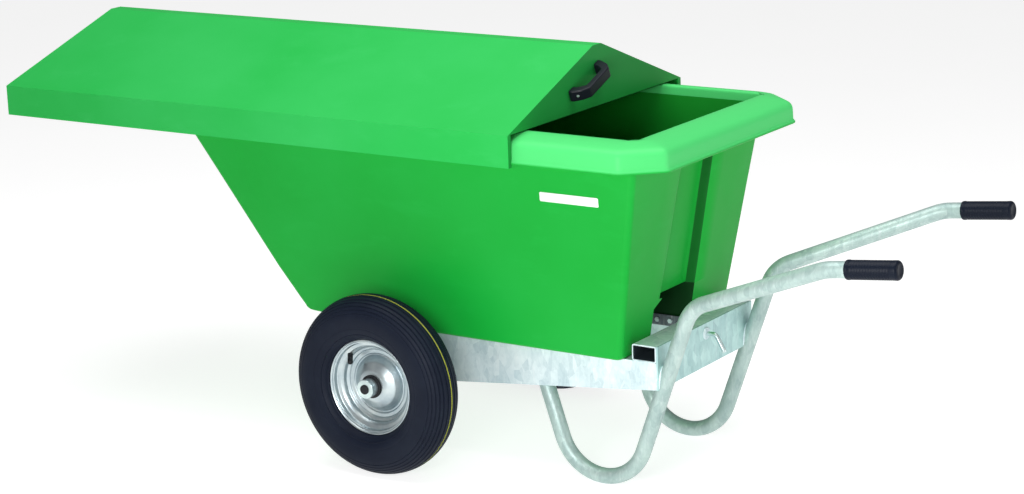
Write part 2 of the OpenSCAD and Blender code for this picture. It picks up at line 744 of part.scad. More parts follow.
module hub() color([0.80, 0.82, 0.83])
    ring(wheel_y - hub_len / 2, wheel_y + hub_len / 2, hub_r - hub_wall, hub_r);

module bearings() color([0.1, 0.1, 0.1])
    for (y = [wheel_y - hub_len / 2, wheel_y + hub_len / 2 - bearing_l])
        ring(y, y + bearing_l, axle_r + running, hub_r - hub_wall - snug);

module dust_ring() color([0.05, 0.05, 0.06])
    ring(wheel_y + dome_y + 0.5, wheel_y + dome_y + 7, hub_r + snug, hub_r + 5);

// The valve starts on the inner tube, passes the rim's well and points to the hub
module place_valve() translate([0, wheel_y, axle_z]) rotate([0, -valve_angle, 0])
    translate([bead_r + tyre_wall + tube_fit + 1, 0, 0]) rotate([0, 0, -valve_lean])
        rotate([0, -90, 0]) children();
module valve() color([0.05, 0.05, 0.06]) place_valve() {
    cylinder(r = valve_r, h = valve_l - 18);
    cylinder(r = valve_r - 1, h = valve_l - 7);
    translate([0, 0, valve_l - 8]) cylinder(r = valve_r - 0.2, h = 8);
}

module left() children();
module right() mirror([0, 1, 0]) children();

at_origin() tub();
at_origin() label();
at_origin() left() pivot_lug();  // pivot_lug_left
at_origin() right() pivot_lug();  // pivot_lug_right
at_origin() pivot_bolts();
at_origin() latch_catch();
at_origin() catch_bolts();
at_origin() lid();
at_origin() lid_handle();
at_origin() lid_handle_screws();
at_origin() left() rail();  // rail_left
at_origin() right() rail();  // rail_right
at_origin() rear_cross_tube();
at_origin() rear_plate();
at_origin() axle();
at_origin() left() axle_spacer();  // axle_spacer_left
at_origin() right() axle_spacer();  // axle_spacer_right
at_origin() axle_washers();
at_origin() axle_caps();
at_origin() left() handle_tube();  // handle_tube_left
at_origin() right() handle_tube();  // handle_tube_right
at_origin() left() grip();  // grip_left
at_origin() right() grip();  // grip_right
at_origin() latch_bush();
at_origin() latch_pin();
at_origin() latch_washer();
at_origin() latch_split_pin();
at_origin() left() tyre();  // tyre_left
at_origin() right() tyre();  // tyre_right
at_origin() left() inner_tube();  // inner_tube_left
at_origin() right() inner_tube();  // inner_tube_right
at_origin() left() valve();  // valve_left
at_origin() right() valve();  // valve_right
at_origin() left() rim();  // rim_left
at_origin() right() rim();  // rim_right
at_origin() left() hub();  // hub_left
at_origin() right() hub();  // hub_right
at_origin() left() bearings();  // bearings_left
at_origin() right() bearings();  // bearings_right
at_origin() left() dust_ring();  // dust_ring_left
at_origin() right() dust_ring();  // dust_ring_right
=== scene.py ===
"""Looks of a two-wheeled feed barrow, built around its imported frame.

Places are in design millimetres: the axle at x = 0, the ground at z = 0, +X to the handles.
at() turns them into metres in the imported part's own frame.
"""
import math

import bmesh
import bpy
from mathutils import Matrix, Vector, noise


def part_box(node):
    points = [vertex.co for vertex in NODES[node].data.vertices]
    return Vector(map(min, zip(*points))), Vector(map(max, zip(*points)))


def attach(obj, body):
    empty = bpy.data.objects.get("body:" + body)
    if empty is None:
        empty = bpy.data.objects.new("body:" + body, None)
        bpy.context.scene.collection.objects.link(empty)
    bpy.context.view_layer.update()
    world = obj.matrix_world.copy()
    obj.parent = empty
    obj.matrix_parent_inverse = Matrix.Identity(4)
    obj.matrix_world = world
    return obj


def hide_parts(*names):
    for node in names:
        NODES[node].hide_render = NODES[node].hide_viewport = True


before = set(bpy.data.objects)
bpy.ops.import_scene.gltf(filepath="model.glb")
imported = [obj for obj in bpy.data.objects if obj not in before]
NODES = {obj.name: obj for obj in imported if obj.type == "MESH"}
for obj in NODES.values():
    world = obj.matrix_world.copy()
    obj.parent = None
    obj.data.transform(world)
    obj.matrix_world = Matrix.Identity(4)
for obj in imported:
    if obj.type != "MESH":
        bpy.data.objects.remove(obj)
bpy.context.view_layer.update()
MM = 0.001
AXLE_X = sum(c.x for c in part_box("axle")) / 2


def at(p):
    """A design place as a place in the frame."""
    return Vector((AXLE_X + p[0] * MM, p[1] * MM, p[2] * MM))


def box(node):
    """(lowest corner, highest corner) of a CAD node in design millimetres."""
    return [Vector(((c.x - AXLE_X) / MM, c.y / MM, c.z / MM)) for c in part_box(node)]


# ---------------------------------------------------------------- materials


class Look:
    """A material with one Principled shader, and short calls to build its nodes."""

    def __init__(self, name, **sockets):
        self.material = bpy.data.materials.new(name)
        self.material.use_nodes = True
        self.tree = self.material.node_tree
        self.shader = self.tree.nodes["Principled BSDF"]
        self.place = self.node("TexCoord").outputs["Object"]
        for key, value in sockets.items():
            self.put(self.shader.inputs[key.replace("_", " ")], value)

    def put(self, socket, value):
        if isinstance(value, bpy.types.NodeSocket):
            self.tree.links.new(value, socket)
        elif isinstance(value, tuple) and len(value) == 3 and socket.type == "RGBA":
            socket.default_value = (*value, 1)
        else:
            socket.default_value = value

    def node(self, kind, inputs=None, **settings):
        n = self.tree.nodes.new("ShaderNode" + kind)
        for key, value in settings.items():
            setattr(n, key, value)
        for key, value in (inputs or {}).items():
            self.put(n.inputs[key], value)
        return n

    def stretched(self, scale):
        return self.node("Mapping", {"Vector": self.place, "Scale": scale}).outputs["Vector"]

    def noise(self, scale, detail=3.0, rough=0.5, where=None):
        inputs = {"Vector": where or self.place, "Scale": scale, "Detail": detail, "Roughness": rough}
        return self.node("TexNoise", inputs).outputs["Fac"]

    def cells(self, scale, where=None):
        """One random number for each grain."""
        inputs = {"Vector": where or self.place, "Scale": scale}
        colour = self.node("TexVoronoi", inputs).outputs["Color"]
        return self.node("SeparateColor", {"Color": colour}).outputs["Red"]

    def spread(self, value, low, high, start=0.0, end=1.0):
        inputs = {"Value": value, "From Min": start, "From Max": end, "To Min": low, "To Max": high}
        return self.node("MapRange", inputs).outputs["Result"]

    def math(self, operation, a, b=0.0):
        n = self.node("Math", operation=operation)
        self.put(n.inputs[0], a)
        self.put(n.inputs[1], b)
        return n.outputs[0]

    def mix(self, share, a, b, blend="MIX"):
        n = self.node("Mix", data_type="RGBA", blend_type=blend)
        self.put(n.inputs[0], share)
        self.put(n.inputs[6], a)
        self.put(n.inputs[7], b)
        return n.outputs[2]

    def bump(self, height, depth_mm, strength=1.0, below=None):
        inputs = {"Height": height, "Distance": depth_mm * MM, "Strength": strength}
        if below:
            inputs["Normal"] = below
        return self.node("Bump", inputs).outputs["Normal"]

    def finish(self, **sockets):
        for key, value in sockets.items():
            self.put(self.shader.inputs[key.replace("_", " ")], value)
        return self.material


def plastic(name, colour, pale, rough=0.42, highlight_above=None, shine=0.14):
    """Moulded polyethylene: slightly uneven colour, a soft orange-peel skin and faint scuffs.

    The optional (height in metres, colour) pair is a painted highlight: from that height up the plastic
    takes that paler colour.
    """
    k = Look(name, IOR=1.5, Specular_IOR_Level=shine)
    patches = k.spread(k.noise(2.6, 4), 0, 1, 0.3, 0.7)
    base = k.mix(k.math("MULTIPLY", patches, 0.5), colour, pale)
    scuff = k.spread(k.noise(9, 5, 0.6, k.stretched((1, 1, 3))), 0, 1, 0.56, 0.8)
    base = k.mix(k.math("MULTIPLY", scuff, 0.3), base, pale)
    # Painted highlight: from the given height up the colour turns paler
    if highlight_above:
        height = k.node("SeparateXYZ", {"Vector": k.place}).outputs["Z"]
        base = k.mix(k.spread(height, 0, 1, highlight_above[0] - 0.002, highlight_above[0] + 0.002), base, highlight_above[1])
    peel = k.bump(k.noise(420, 2), 0.10, 0.35)
    wave = k.bump(k.noise(7, 1), 1.6, 0.35, peel)
    return k.finish(Base_Color=base, Roughness=k.spread(k.noise(14, 3), rough - 0.05, rough + 0.07),
                    Normal=wave)


def galvanised(name, light, dark, rough=0.36, grain=(60, 60, 34)):
    """Hot-dip zinc: crystal grains in slightly different greys under a cloudy bloom."""
    k = Look(name, Metallic=0.4, Specular_IOR_Level=0.5)
    grains = k.cells(1.0, k.stretched(grain))
    fine = k.cells(1.0, k.stretched(tuple(g * 3.1 for g in grain)))
    cloud = k.spread(k.noise(16, 5, 0.6), 0, 1, 0.32, 0.7)
    mixed = k.math("ADD", k.math("MULTIPLY", grains, 0.42), k.math("MULTIPLY", fine, 0.18))
    mixed = k.math("ADD", mixed, k.math("MULTIPLY", cloud, 0.42))
    base = k.mix(mixed, dark, light)
    streak = k.spread(k.noise(1, 4, 0.6, k.stretched((150, 150, 9))), 0, 1, 0.55, 0.75)
    base = k.mix(k.math("MULTIPLY", streak, 0.22), base, (0.93, 0.95, 0.94))
    skin = k.bump(k.noise(130, 3), 0.25, 0.3)
    skin = k.bump(grains, 0.06, 0.35, skin)
    return k.finish(Base_Color=base, Roughness=k.spread(mixed, rough + 0.12, rough - 0.06), Normal=skin)


def bright_metal(name, light, dark, rough=0.2, metal=0.95):
    """Bright zinc plate over pressed steel, a little clouded."""
    k = Look(name, Metallic=metal)
    cloud = k.spread(k.noise(22, 4, 0.6), 0, 1, 0.3, 0.72)
    base = k.mix(cloud, dark, light)
    wave = k.bump(k.noise(55, 2), 0.25, 0.22)
    return k.finish(Base_Color=base, Roughness=k.spread(k.noise(60, 4), rough, rough + 0.14),
                    Normal=wave)


def rubber(name, colour, dusty, rough=0.55, pores=700, shine=0.3):
    """Rubber with a fine pore and patches of dust."""
    k = Look(name, Specular_IOR_Level=shine)
    dust = k.spread(k.noise(12, 5, 0.65), 0, 1, 0.42, 0.78)
    base = k.mix(k.math("MULTIPLY", dust, 0.6), colour, dusty)
    skin = k.bump(k.noise(pores, 2), 0.08, 0.5)
    return k.finish(Base_Color=base, Roughness=k.spread(k.noise(30, 4), rough - 0.07, rough + 0.1),
                    Normal=skin)


def vinyl(name):
    """White sticker film with a thin gloss."""
    k = Look(name, Specular_IOR_Level=0.5, Coat_Weight=0.15, Coat_Roughness=0.2)
    base = k.mix(k.noise(30, 3), (0.80, 0.82, 0.80), (0.90, 0.91, 0.89))
    skin = k.bump(k.noise(160, 2), 0.03, 0.3)
    return k.finish(Base_Color=base, Roughness=k.spread(k.noise(80, 3), 0.3, 0.42), Normal=skin)


# The tub's paler rim band is a painted highlight, standing in for the top light falling on the rim
RIM_HIGHLIGHT_H = 0.055
TUB = plastic("tub_plastic", (0.004, 0.34, 0.030), (0.014, 0.42, 0.060),
              highlight_above=(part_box("tub")[1].z - RIM_HIGHLIGHT_H, (0.075, 0.60, 0.16)))
# Painted shade: a darker copy of the tub plastic for the tub's inside faces
INSIDE_SHADE = plastic("tub_plastic_inside_painted_shade", (0.005, 0.23, 0.016), (0.009, 0.29, 0.026), 0.5, shine=0.15)
# Painted shade: a near-black copy of the tub plastic for the niche under the rear wall
NICHE_SHADE = plastic("tub_plastic_niche_painted_shade", (0.002, 0.035, 0.006), (0.004, 0.050, 0.010), 0.5, shine=0.1)
# Painted shade: a darker copy of the tub plastic for the far flank of the rear wall's groove
GROOVE_SHADE = plastic("tub_plastic_groove_painted_shade", (0.003, 0.12, 0.014), (0.006, 0.16, 0.022), 0.5, shine=0.1)
LID = plastic("lid_plastic", (0.014, 0.41, 0.060), (0.045, 0.50, 0.120), 0.46)
# Painted shade: a darker copy of the lid plastic for the rear gable
LID_REAR_SHADE = plastic("lid_plastic_rear_painted_shade", (0.008, 0.24, 0.034), (0.024, 0.28, 0.066), 0.46)
GALV = galvanised("galvanised", (0.84, 0.95, 0.96), (0.44, 0.58, 0.62), 0.48)
PLATE = galvanised("galvanised_plate", (0.55, 0.78, 0.75), (0.29, 0.48, 0.49), 0.48)
TUBE = galvanised("galvanised_tube", (0.49, 0.62, 0.58), (0.27, 0.38, 0.37), 0.44, (80, 80, 42))
# Painted shade: a near-black copy of the galvanised finish for the latch catch inside the niche
KEEPER_SHADE = galvanised("galvanised_keeper_painted_shade", (0.16, 0.20, 0.21), (0.07, 0.09, 0.10), 0.5)
ZINC = bright_metal("zinc_plate", (0.80, 0.92, 0.90), (0.50, 0.60, 0.60), 0.26)
RIM = bright_metal("rim_zinc", (0.62, 0.68, 0.68), (0.38, 0.46, 0.50), 0.30)
TYRE = rubber("tyre_rubber", (0.003, 0.006, 0.016), (0.009, 0.014, 0.027), shine=0.16)
# Painted shade: a dark grey for the cross tube's inside faces
CROSS_INSIDE_SHADE = rubber("galvanised_inside_painted_shade", (0.020, 0.032, 0.040), (0.040, 0.055, 0.065), 0.6)
STRIPE = rubber("tyre_stripe", (0.42, 0.46, 0.05), (0.26, 0.28, 0.06))
BLACK = rubber("black_rubber", (0.005, 0.006, 0.008), (0.012, 0.013, 0.016), 0.5)
HANDLE = plastic("black_plastic", (0.004, 0.005, 0.010), (0.010, 0.012, 0.020), 0.42, shine=0.25)
GRIP = plastic("grip_plastic", (0.004, 0.007, 0.016), (0.009, 0.014, 0.026), 0.40, shine=0.12)
LABEL = vinyl("label_vinyl")

# ---------------------------------------------------------------- mesh helpers


def piece(name, points, faces, body, look, replaces=(), sharp=38.0, looks=(), smooth=True):
    """A mesh from design points. Each face is a list of point numbers, or (numbers, look number)."""
    plain = [f[0] if isinstance(f, tuple) else f for f in faces]
    mesh = bpy.data.meshes.new(name)
    mesh.from_pydata([at(p) for p in points], [], plain)
    mesh.validate()
    for material in (look, *looks):
        mesh.materials.append(material)
    for polygon, f in zip(mesh.polygons, faces):
        polygon.use_smooth = smooth
        if isinstance(f, tuple):
            polygon.material_index = f[1]
    if smooth:
        mesh.set_sharp_from_angle(angle=math.radians(sharp))
    obj = bpy.data.objects.new(name, mesh)
    bpy.context.scene.collection.objects.link(obj)
    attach(obj, body)
    if replaces:
        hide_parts(*replaces)
    return obj


def face_out(obj):
    """Turn every face of a closed mesh outwards."""
    work = bmesh.new()
    work.from_mesh(obj.data)
    bmesh.ops.recalc_face_normals(work, faces=work.faces)
    work.to_mesh(obj.data)
    work.free()


def bevel(obj, width_mm, segments=3, angle=30.0):
    m = obj.modifiers.new("edges", "BEVEL")
    m.width = width_mm * MM
    m.segments = segments
    m.limit_method = "ANGLE"
    m.angle_limit = math.radians(angle)
    m.harden_normals = True
    m.miter_outer = "MITER_ARC"
    return obj


def loft(rings, closed_ring=True, closed_path=False, caps=True):
    """Points and faces of a skin over rings that all have the same number of points."""
    count = len(rings[0])
    points = [p for ring in rings for p in ring]
    faces = []
    last = len(rings) if closed_path else len(rings) - 1
    for i in range(last):
        j = (i + 1) % len(rings)
        for k in range(count if closed_ring else count - 1):
            m = (k + 1) % count
            faces.append([i * count + k, i * count + m, j * count + m, j * count + k])
    if caps and not closed_path:
        faces.append(list(range(count))[::-1])
        faces.append([(len(rings) - 1) * count + k for k in range(count)])
    return points, faces


def arc_corner(before, corner, after, radius, step=9.0):
    """Points of the arc that rounds off a corner; the corner itself if the radius is 0."""
    a = (Vector(before) - Vector(corner)).normalized()
    b = (Vector(after) - Vector(corner)).normalized()
    turn = math.pi - a.angle(b)
    if radius <= 0 or turn < 1e-4:
        return [Vector(corner)]
    reach = radius * math.tan(turn / 2)
    start = Vector(corner) + a * reach
    inward = (b - a * a.dot(b)).normalized()
    count = max(2, round(math.degrees(turn) / step))
    arc = []
    for i in range(count + 1):
        t = turn * i / count
        arc.append(start - a * radius * math.sin(t) + inward * radius * (1 - math.cos(t)))
    return arc


def rounded(corners, closed=False, step=9.0):
    """A line through corners, each (*place, radius), with every corner rounded off."""
    places = [tuple(c[:-1]) for c in corners]
    n = len(corners)
    line = []
    for i, c in enumerate(corners):
        if not closed and i in (0, n - 1):
            line.append(Vector(places[i]))
        else:
            line += arc_corner(places[i - 1], places[i], places[(i + 1) % n], c[-1], step)
    return line


def circle(centre, a, b, radius, sides):
    """Points of a circle in the plane of the unit vectors a and b."""
    turns = (2 * math.pi * k / sides for k in range(sides))
    return [centre + (a * math.cos(q) + b * math.sin(q)) * radius for q in turns]


def sweep(line, radius, sides=40):
    """Rings round a line, without twist. radius is a number or a function of the ring's share."""
    rings = []
    side = None
    n = len(line)
    for i, p in enumerate(line):
        ahead = line[min(i + 1, n - 1)] - line[max(i - 1, 0)]
        ahead.normalize()
        if side is None:
            side = ahead.orthogonal().normalized()
        side = (side - ahead * side.dot(ahead)).normalized()
        up = ahead.cross(side)
        r = radius(i / (n - 1)) if callable(radius) else radius
        rings.append(circle(p, side, up, r, sides))
    return rings


def lathe(name, outline, centre, out, body, look, replaces=(), sides=144, sharp=30.0,
          looks=(), marks=None):
    """A closed outline of (radius, way out) points turned about the Y line through centre."""
    n = len(outline)
    points = []
    for s in range(sides):
        a = 2 * math.pi * s / sides
        points += [(centre[0] + r * math.cos(a), centre[1] + out * w, centre[2] + r * math.sin(a))
                   for r, w in outline]
    faces = []
    for s in range(sides):
        t = (s + 1) % sides
        for i in range(n):
            j = (i + 1) % n
            face = [s * n + i, s * n + j, t * n + j, t * n + i]
            face = face[::-1] if out < 0 else face
            faces.append((face, marks[i]) if marks else face)
    return piece(name, points, faces, body, look, replaces, sharp, looks)


def bead(name, line, body, radius_mm=3.0, seed=0.0):
    """A weld bead along a line, its thickness rippled like laid-down drops."""
    count = len(line)

    def radius(u):
        ends = min(1.0, 0.45 + 6 * min(u, 1 - u))
        drops = math.sin(u * count * 1.9)
        uneven = noise.noise(Vector((u * count * 0.31, seed, 0)))
        return radius_mm * ends * (1 + 0.10 * drops + 0.22 * uneven)

    points, faces = loft(sweep(line, radius, 10))
    return piece(name, points, faces, body, GALV, sharp=80)


def dense(line, step=2.2):
    """The same line with points about every step millimetres."""
    out = []
    for a, b in zip(line, line[1:]):
        n = max(1, round((b - a).length / step))
        out += [a.lerp(b, i / n) for i in range(n)]
    return out + [line[-1]]


def share_of(x):
    """x kept between 0 and 1."""
    return min(max(x, 0), 1)


def smoothstep(x):
    x = min(max(x, 0.0), 1.0)
    return x * x * (3 - 2 * x)


# ---------------------------------------------------------------- tub

TUB_LOW, TUB_HIGH = box("tub")
TUB_Z0, CREST_Z = TUB_LOW.z, TUB_HIGH.z
RIM_H, RIM_OVERHANG, RIM_END = 59.0, 72.0, 84.0
RIM_Z = CREST_Z - RIM_H
TUB_DEPTH = RIM_Z - TUB_Z0
FLARE_FRONT, FLARE_REAR, FLARE_SIDE = 261.0, 71.0, 45.0
WALL = 4.5
CORNER_R = 15.0
CUT_X, CUT_Y = 79.0, 69.0
NICHE_TOP = TUB_Z0 + 103
NICHE = {"near": -105.0, "far": 58.0, "deep": 89.0, "cut": 33.0, "cut_h": 18.0}
NICHE_STRIPS = 14
GROOVE_DEEP = 20.0
# The front wall's foot is rounded, tucked back and raised a little, and its top reaches forward
NOSE = 9.0
FRONT_REACH, FRONT_TUCK, FRONT_LIFT = 11.0, 14.0, 10.0
FRONT_LIFT_H = 110
CORNER_N = 10
EDGE = (0, 0.1, 0.25, 0.5, 0.75, 0.9, 1)
# Columns of the rear wall's recess and of its far flank, and for how many strips the groove's far flank
# carries painted shade
RECESS = range(CORNER_N + 2, CORNER_N + 20)
FAR_FLANK = range(CORNER_N + 14, CORNER_N + 20)
GROOVE_STRIPS = 11
# (way in, height): under the crown, down inside the band, round the lip, up the band, over the crown
RIM_SECTION = [(54, 53.5), (44, 53.5), (26, 48.5), (15, 44), (10.5, 38), (9, 30), (8.5, 12), (8.2, 3),
               (6.5, 0.6), (4, 0), (1.5, 0.3), (0.3, 1.6), (0, 3.2), (0.5, 5), (2, 6.6), (3.4, 8.4),
               (4, 11), (4.3, 20), (4.7, 30), (5.6, 36), (7.8, 41), (11.5, 45.2), (16.5, 48.4),
               (23, 51), (33, 54), (43, 56.6), (52, 58.2), (59, 59)]


def wall_share(z):
    """0 at the tub's floor, 1 where the rim begins."""
    return (z - TUB_Z0) / TUB_DEPTH


def rear_profile(z, inset, k):
    """(y, depth) points across the rear wall. k is 0 in the niche, 1 in the groove and 2 on plain wall."""
    t = share_of(wall_share(z))
    groove = (-82 + 30 * t, 56 + 8 * t, GROOVE_DEEP, 34.0, 5.0)
    cut = NICHE["cut"] * share_of(1 - (NICHE_TOP + inset - z) / NICHE["cut_h"])
    niche = (NICHE["near"] + cut, NICHE["far"], NICHE["deep"] + FLARE_REAR * t, 5.0, 5.0)
    plain = (groove[0], groove[1], 0.0, groove[3], groove[4])
    a, b, share = (niche, groove, k) if k <= 1 else (groove, plain, k - 1)
    near, far, deep, soft_near, soft_far = (u + (v - u) * share for u, v in zip(a, b))
    near -= inset
    far += inset
    profile = [(near - soft_near / 2 + soft_near * u, deep * smoothstep(u)) for u in EDGE]
    inner_near, inner_far = profile[-1][0], far - soft_far / 2
    profile += [(inner_near + (inner_far - inner_near) * i / 6, deep) for i in range(1, 6)]
    profile += [(inner_far + soft_far * u, deep * (1 - smoothstep(u))) for u in EDGE]
    return profile


def close_ring(x0, x1, corners, rear, z, wave=0.0):
    """One ring round the tub from four corner lists and the rear profile."""
    def along(a, b, n):
        return [a.lerp(b, i / n) for i in range(1, n)]

    rear_near, rear_far, front_far, front_near = corners
    ring = list(rear_near)
    y_from, y_to = rear_near[-1].y, rear_far[0].y
    first, last = rear[0][0], rear[-1][0]
    ring += [Vector((x1, y_from + (first - y_from) * u)) for u in (0.35, 0.7)]
    ring += [Vector((x1 - deep, y)) for y, deep in rear]
    ring += [Vector((x1, last + (y_to - last) * u)) for u in (0.3, 0.65)]
    ring += rear_far
    ring += along(rear_far[-1], front_far[0], 16)
    ring += front_far
    ring += along(front_far[-1], front_near[0], 9)
    ring += front_near
    ring += along(front_near[-1], rear_near[0], 16)
    if wave:
        middle = Vector(((x0 + x1) / 2, 0))
        moved = []
        for p in ring:
            away = (p - middle).normalized()
            moved.append(p + away * wave * noise.noise(Vector((p.x, p.y, z)) / 170))
        ring = moved
    return [(p.x, p.y, z) for p in ring]


def body_ring(z, inset=0.0, k=1.0, nose=0.0, wave=0.7):
    """One ring of the tub's wall, drawn in by inset; nose draws only the front wall back."""
    t = wall_share(z)
    lean = FLARE_FRONT + FRONT_REACH + FRONT_TUCK
    x0 = TUB_LOW.x + RIM_END - FRONT_REACH + lean * max(1 - t, 0) + inset + nose
    x1 = TUB_HIGH.x - RIM_END - FLARE_REAR * (1 - t) - inset
    h = TUB_HIGH.y - RIM_OVERHANG - FLARE_SIDE * (1 - t) - inset
    r = max(CORNER_R - inset, 6.0)

    def corner(cx, cy, first):
        turns = (math.radians(first + 90 * i / (CORNER_N - 1)) for i in range(CORNER_N))
        return [Vector((cx + r * math.cos(q), cy + r * math.sin(q))) for q in turns]

    corners = (corner(x1 - r, r - h, -90), corner(x1 - r, h - r, 0),
               corner(x0 + r, h - r, 90), corner(x0 + r, r - h, 180))
    ring = close_ring(x0, x1, corners, rear_profile(z, inset, k), z, wave)
    # In front of the rails the floor rises a little
    low = 1 - share_of((z - TUB_Z0) / FRONT_LIFT_H)
    start = box("rail_right")[0].x
    return [(x, y, up + FRONT_LIFT * low * share_of((start - x) / (start - x0))) for x, y, up in ring]


def rim_ring(z, d, soft=9.0):
    """The rim's eight-sided outline drawn in by d, its corners slightly rounded."""
    diagonal = math.hypot(CUT_X, CUT_Y)
    cx = CUT_X + d * (diagonal - CUT_X - CUT_Y) / CUT_Y
    cy = CUT_Y + d * (diagonal - CUT_X - CUT_Y) / CUT_X
    x0, x1, h = TUB_LOW.x + d, TUB_HIGH.x - d, TUB_HIGH.y - d
    half = CORNER_N // 2

    def turn(before, vertex, after):
        vertex, a, b = Vector(vertex), Vector(before), Vector(after)
        a = vertex + (a - vertex).normalized() * soft
        b = vertex + (b - vertex).normalized() * soft
        shares = (i / (half - 1) for i in range(half))
        return [a.lerp(vertex, u).lerp(vertex.lerp(b, u), u) for u in shares]

    eight = [(x1 - cx, -h), (x1, cy - h), (x1, h - cy), (x1 - cx, h),
             (x0 + cx, h), (x0, h - cy), (x0, cy - h), (x0 + cx, -h)]
    turned = [turn(eight[i - 1], eight[i], eight[(i + 1) % 8]) for i in range(8)]
    corners = [turned[2 * i] + turned[2 * i + 1] for i in range(4)]
    return close_ring(x0, x1, corners, rear_profile(z, 0, 2.0), z)


def foot_round(up):
    """How far back the rounded foot of the front wall lies, at a height above the floor."""
    return NOSE * (1 - math.sqrt(max(0, 1 - (1 - up / NOSE) ** 2)))


def make_tub():
    """The tub as one skin: up the outside, over the rim, and down the inside to the floor."""
    floor_turn = ((7.0, 0.0), (3.6, 0.8), (1.2, 3.0), (0, 7.0), (0, 8.2), (0, 9.0), (0, 13))
    rings = [body_ring(TUB_Z0 + up, inset, 0, foot_round(up)) for inset, up in floor_turn]
    rings += [body_ring(TUB_Z0 + up, 0, 0) for up in (30, 55)]
    rings += [body_ring(NICHE_TOP - down, 0, 0) for down in (26, 18, 10, 3)]
    rings += [body_ring(NICHE_TOP + up, 0, k) for up, k in ((-0.8, 0.03), (0.8, 0.97), (3, 1))]
    rings += [body_ring(NICHE_TOP + (RIM_Z - NICHE_TOP) * i / 9, 0, 1) for i in range(1, 10)]
    rings += [body_ring(RIM_Z + 3, 0, 1), body_ring(RIM_Z + 5, 0, 2), body_ring(CREST_Z - 8, 0, 2)]
    rings += [rim_ring(RIM_Z + up, d, 9.0 if d < 30 else 14.0) for d, up in RIM_SECTION]
    rings += [body_ring(CREST_Z - down, inset, 2, wave=0)
              for inset, down in ((1.2, 0), (3.2, 0.9), (4.3, 2.6), (4.5, 6))]
    outer = len(rings)
    rings += [body_ring(z, WALL, k)
              for z, k in ((CREST_Z - 20, 2), (RIM_Z + 9, 2), (RIM_Z + 5.5, 1.9), (RIM_Z + 3, 1))]
    top = NICHE_TOP + WALL
    rings += [body_ring(top + (RIM_Z - top) * i / 9, WALL, 1) for i in range(8, 0, -1)]
    rings += [body_ring(top + up, WALL, k) for up, k in ((3, 1), (0.8, 0.97), (-0.8, 0.03))]
    rings += [body_ring(top - down, WALL, 0) for down in (3, 12, 22, 32)]
    rings += [body_ring(TUB_Z0 + up, WALL, 0) for up in (55, 30, 18)]
    rings += [body_ring(TUB_Z0 + WALL + up, WALL + inset, 0, NOSE * 0.5 * (1 - up / 12))
              for inset, up in ((0.4, 9), (2.2, 4), (5.5, 1), (10, 0))]
    points, faces = loft(rings)
    count = len(rings[0])
    # The inside faces take the darker painted-shade plastic
    looks = [1 if min(f) >= outer * count else 0 for f in faces]
    # The niche's recess columns and the groove's far flank take the painted-shade plastics
    for strip in range(NICHE_STRIPS + GROOVE_STRIPS):
        in_niche = strip < NICHE_STRIPS
        for k in RECESS if in_niche else FAR_FLANK:
            looks[strip * count + k] = 2 if in_niche else 3
    return piece("tub_shell", points, list(zip(faces, looks)), "tub", TUB, ["tub"],
                 sharp=50, looks=[INSIDE_SHADE, NICHE_SHADE, GROOVE_SHADE])


make_tub()

# ---------------------------------------------------------------- lid

LID_LOW, LID_HIGH = box("lid")
EAVE_Z = LID_LOW.z + 68
RIDGE_Z = LID_HIGH.z
RIDGE_HALF = 16.5
GABLE_LEAN = 35.0
LID_WALL = 4.0
HEM = 11.0
HALF_LID = LID_HIGH.y
PITCH = math.atan((RIDGE_Z - EAVE_Z) / (HALF_LID - RIDGE_HALF))


def lid_skin(inset):
    """The lid's outline at its front and rear, drawn in by inset, and the corners of its cut gable."""
    h, x0, x1 = HALF_LID - inset, LID_LOW.x + inset, LID_HIGH.x - inset
    drop = inset / math.cos(PITCH)
    eave, ridge = EAVE_Z + inset * math.tan(PITCH) - drop, RIDGE_Z - inset
    r = RIDGE_HALF - (drop - inset) / math.tan(PITCH)
    section = [(-h, LID_LOW.z), (-h, eave), (-r, ridge), (r, ridge), (h, eave), (h, LID_LOW.z)]
    lean = [0, 0, GABLE_LEAN, GABLE_LEAN, 0, 0]
    points = [(x0 + s, y, z) for (y, z), s in zip(section, lean)] + [(x1, y, z) for y, z in section]
    side = HALF_LID - HEM
    return points + [(x1, -side, LID_LOW.z), (x1, -side, EAVE_Z), (x1, side, EAVE_Z), (x1, side, LID_LOW.z)]


def make_lid():
    """Two skins, one inside the other, joined along the lid's open edge."""
    skin = [[i, i + 1, i + 7, i + 6] for i in range(5)]
    front, rear = [0, 5, 4, 3, 2, 1], [[6, 7, 13, 12], [10, 11, 15, 14], [7, 8, 9, 10, 14, 13]]
    skin += [front, *rear]
    outer, inner = lid_skin(0), lid_skin(LID_WALL)
    n = len(outer)
    edge = [0, 6, 12, 13, 14, 15, 11, 5]
    # The rear gable's faces take the darker lid plastic, painted shade
    faces = [(f[::-1], 1 if f in rear else 0) for f in skin] + [[n + i for i in f] for f in skin]
    faces += [[a, b, n + b, n + a] for a, b in zip(edge, edge[1:] + edge[:1])]
    lid = piece("lid_shell", outer + inner, faces, "lid", LID, ["lid"], sharp=25,
                looks=[LID_REAR_SHADE])
    face_out(lid)
    bevel(lid, 1.9, 3, 12)
    return lid


make_lid()


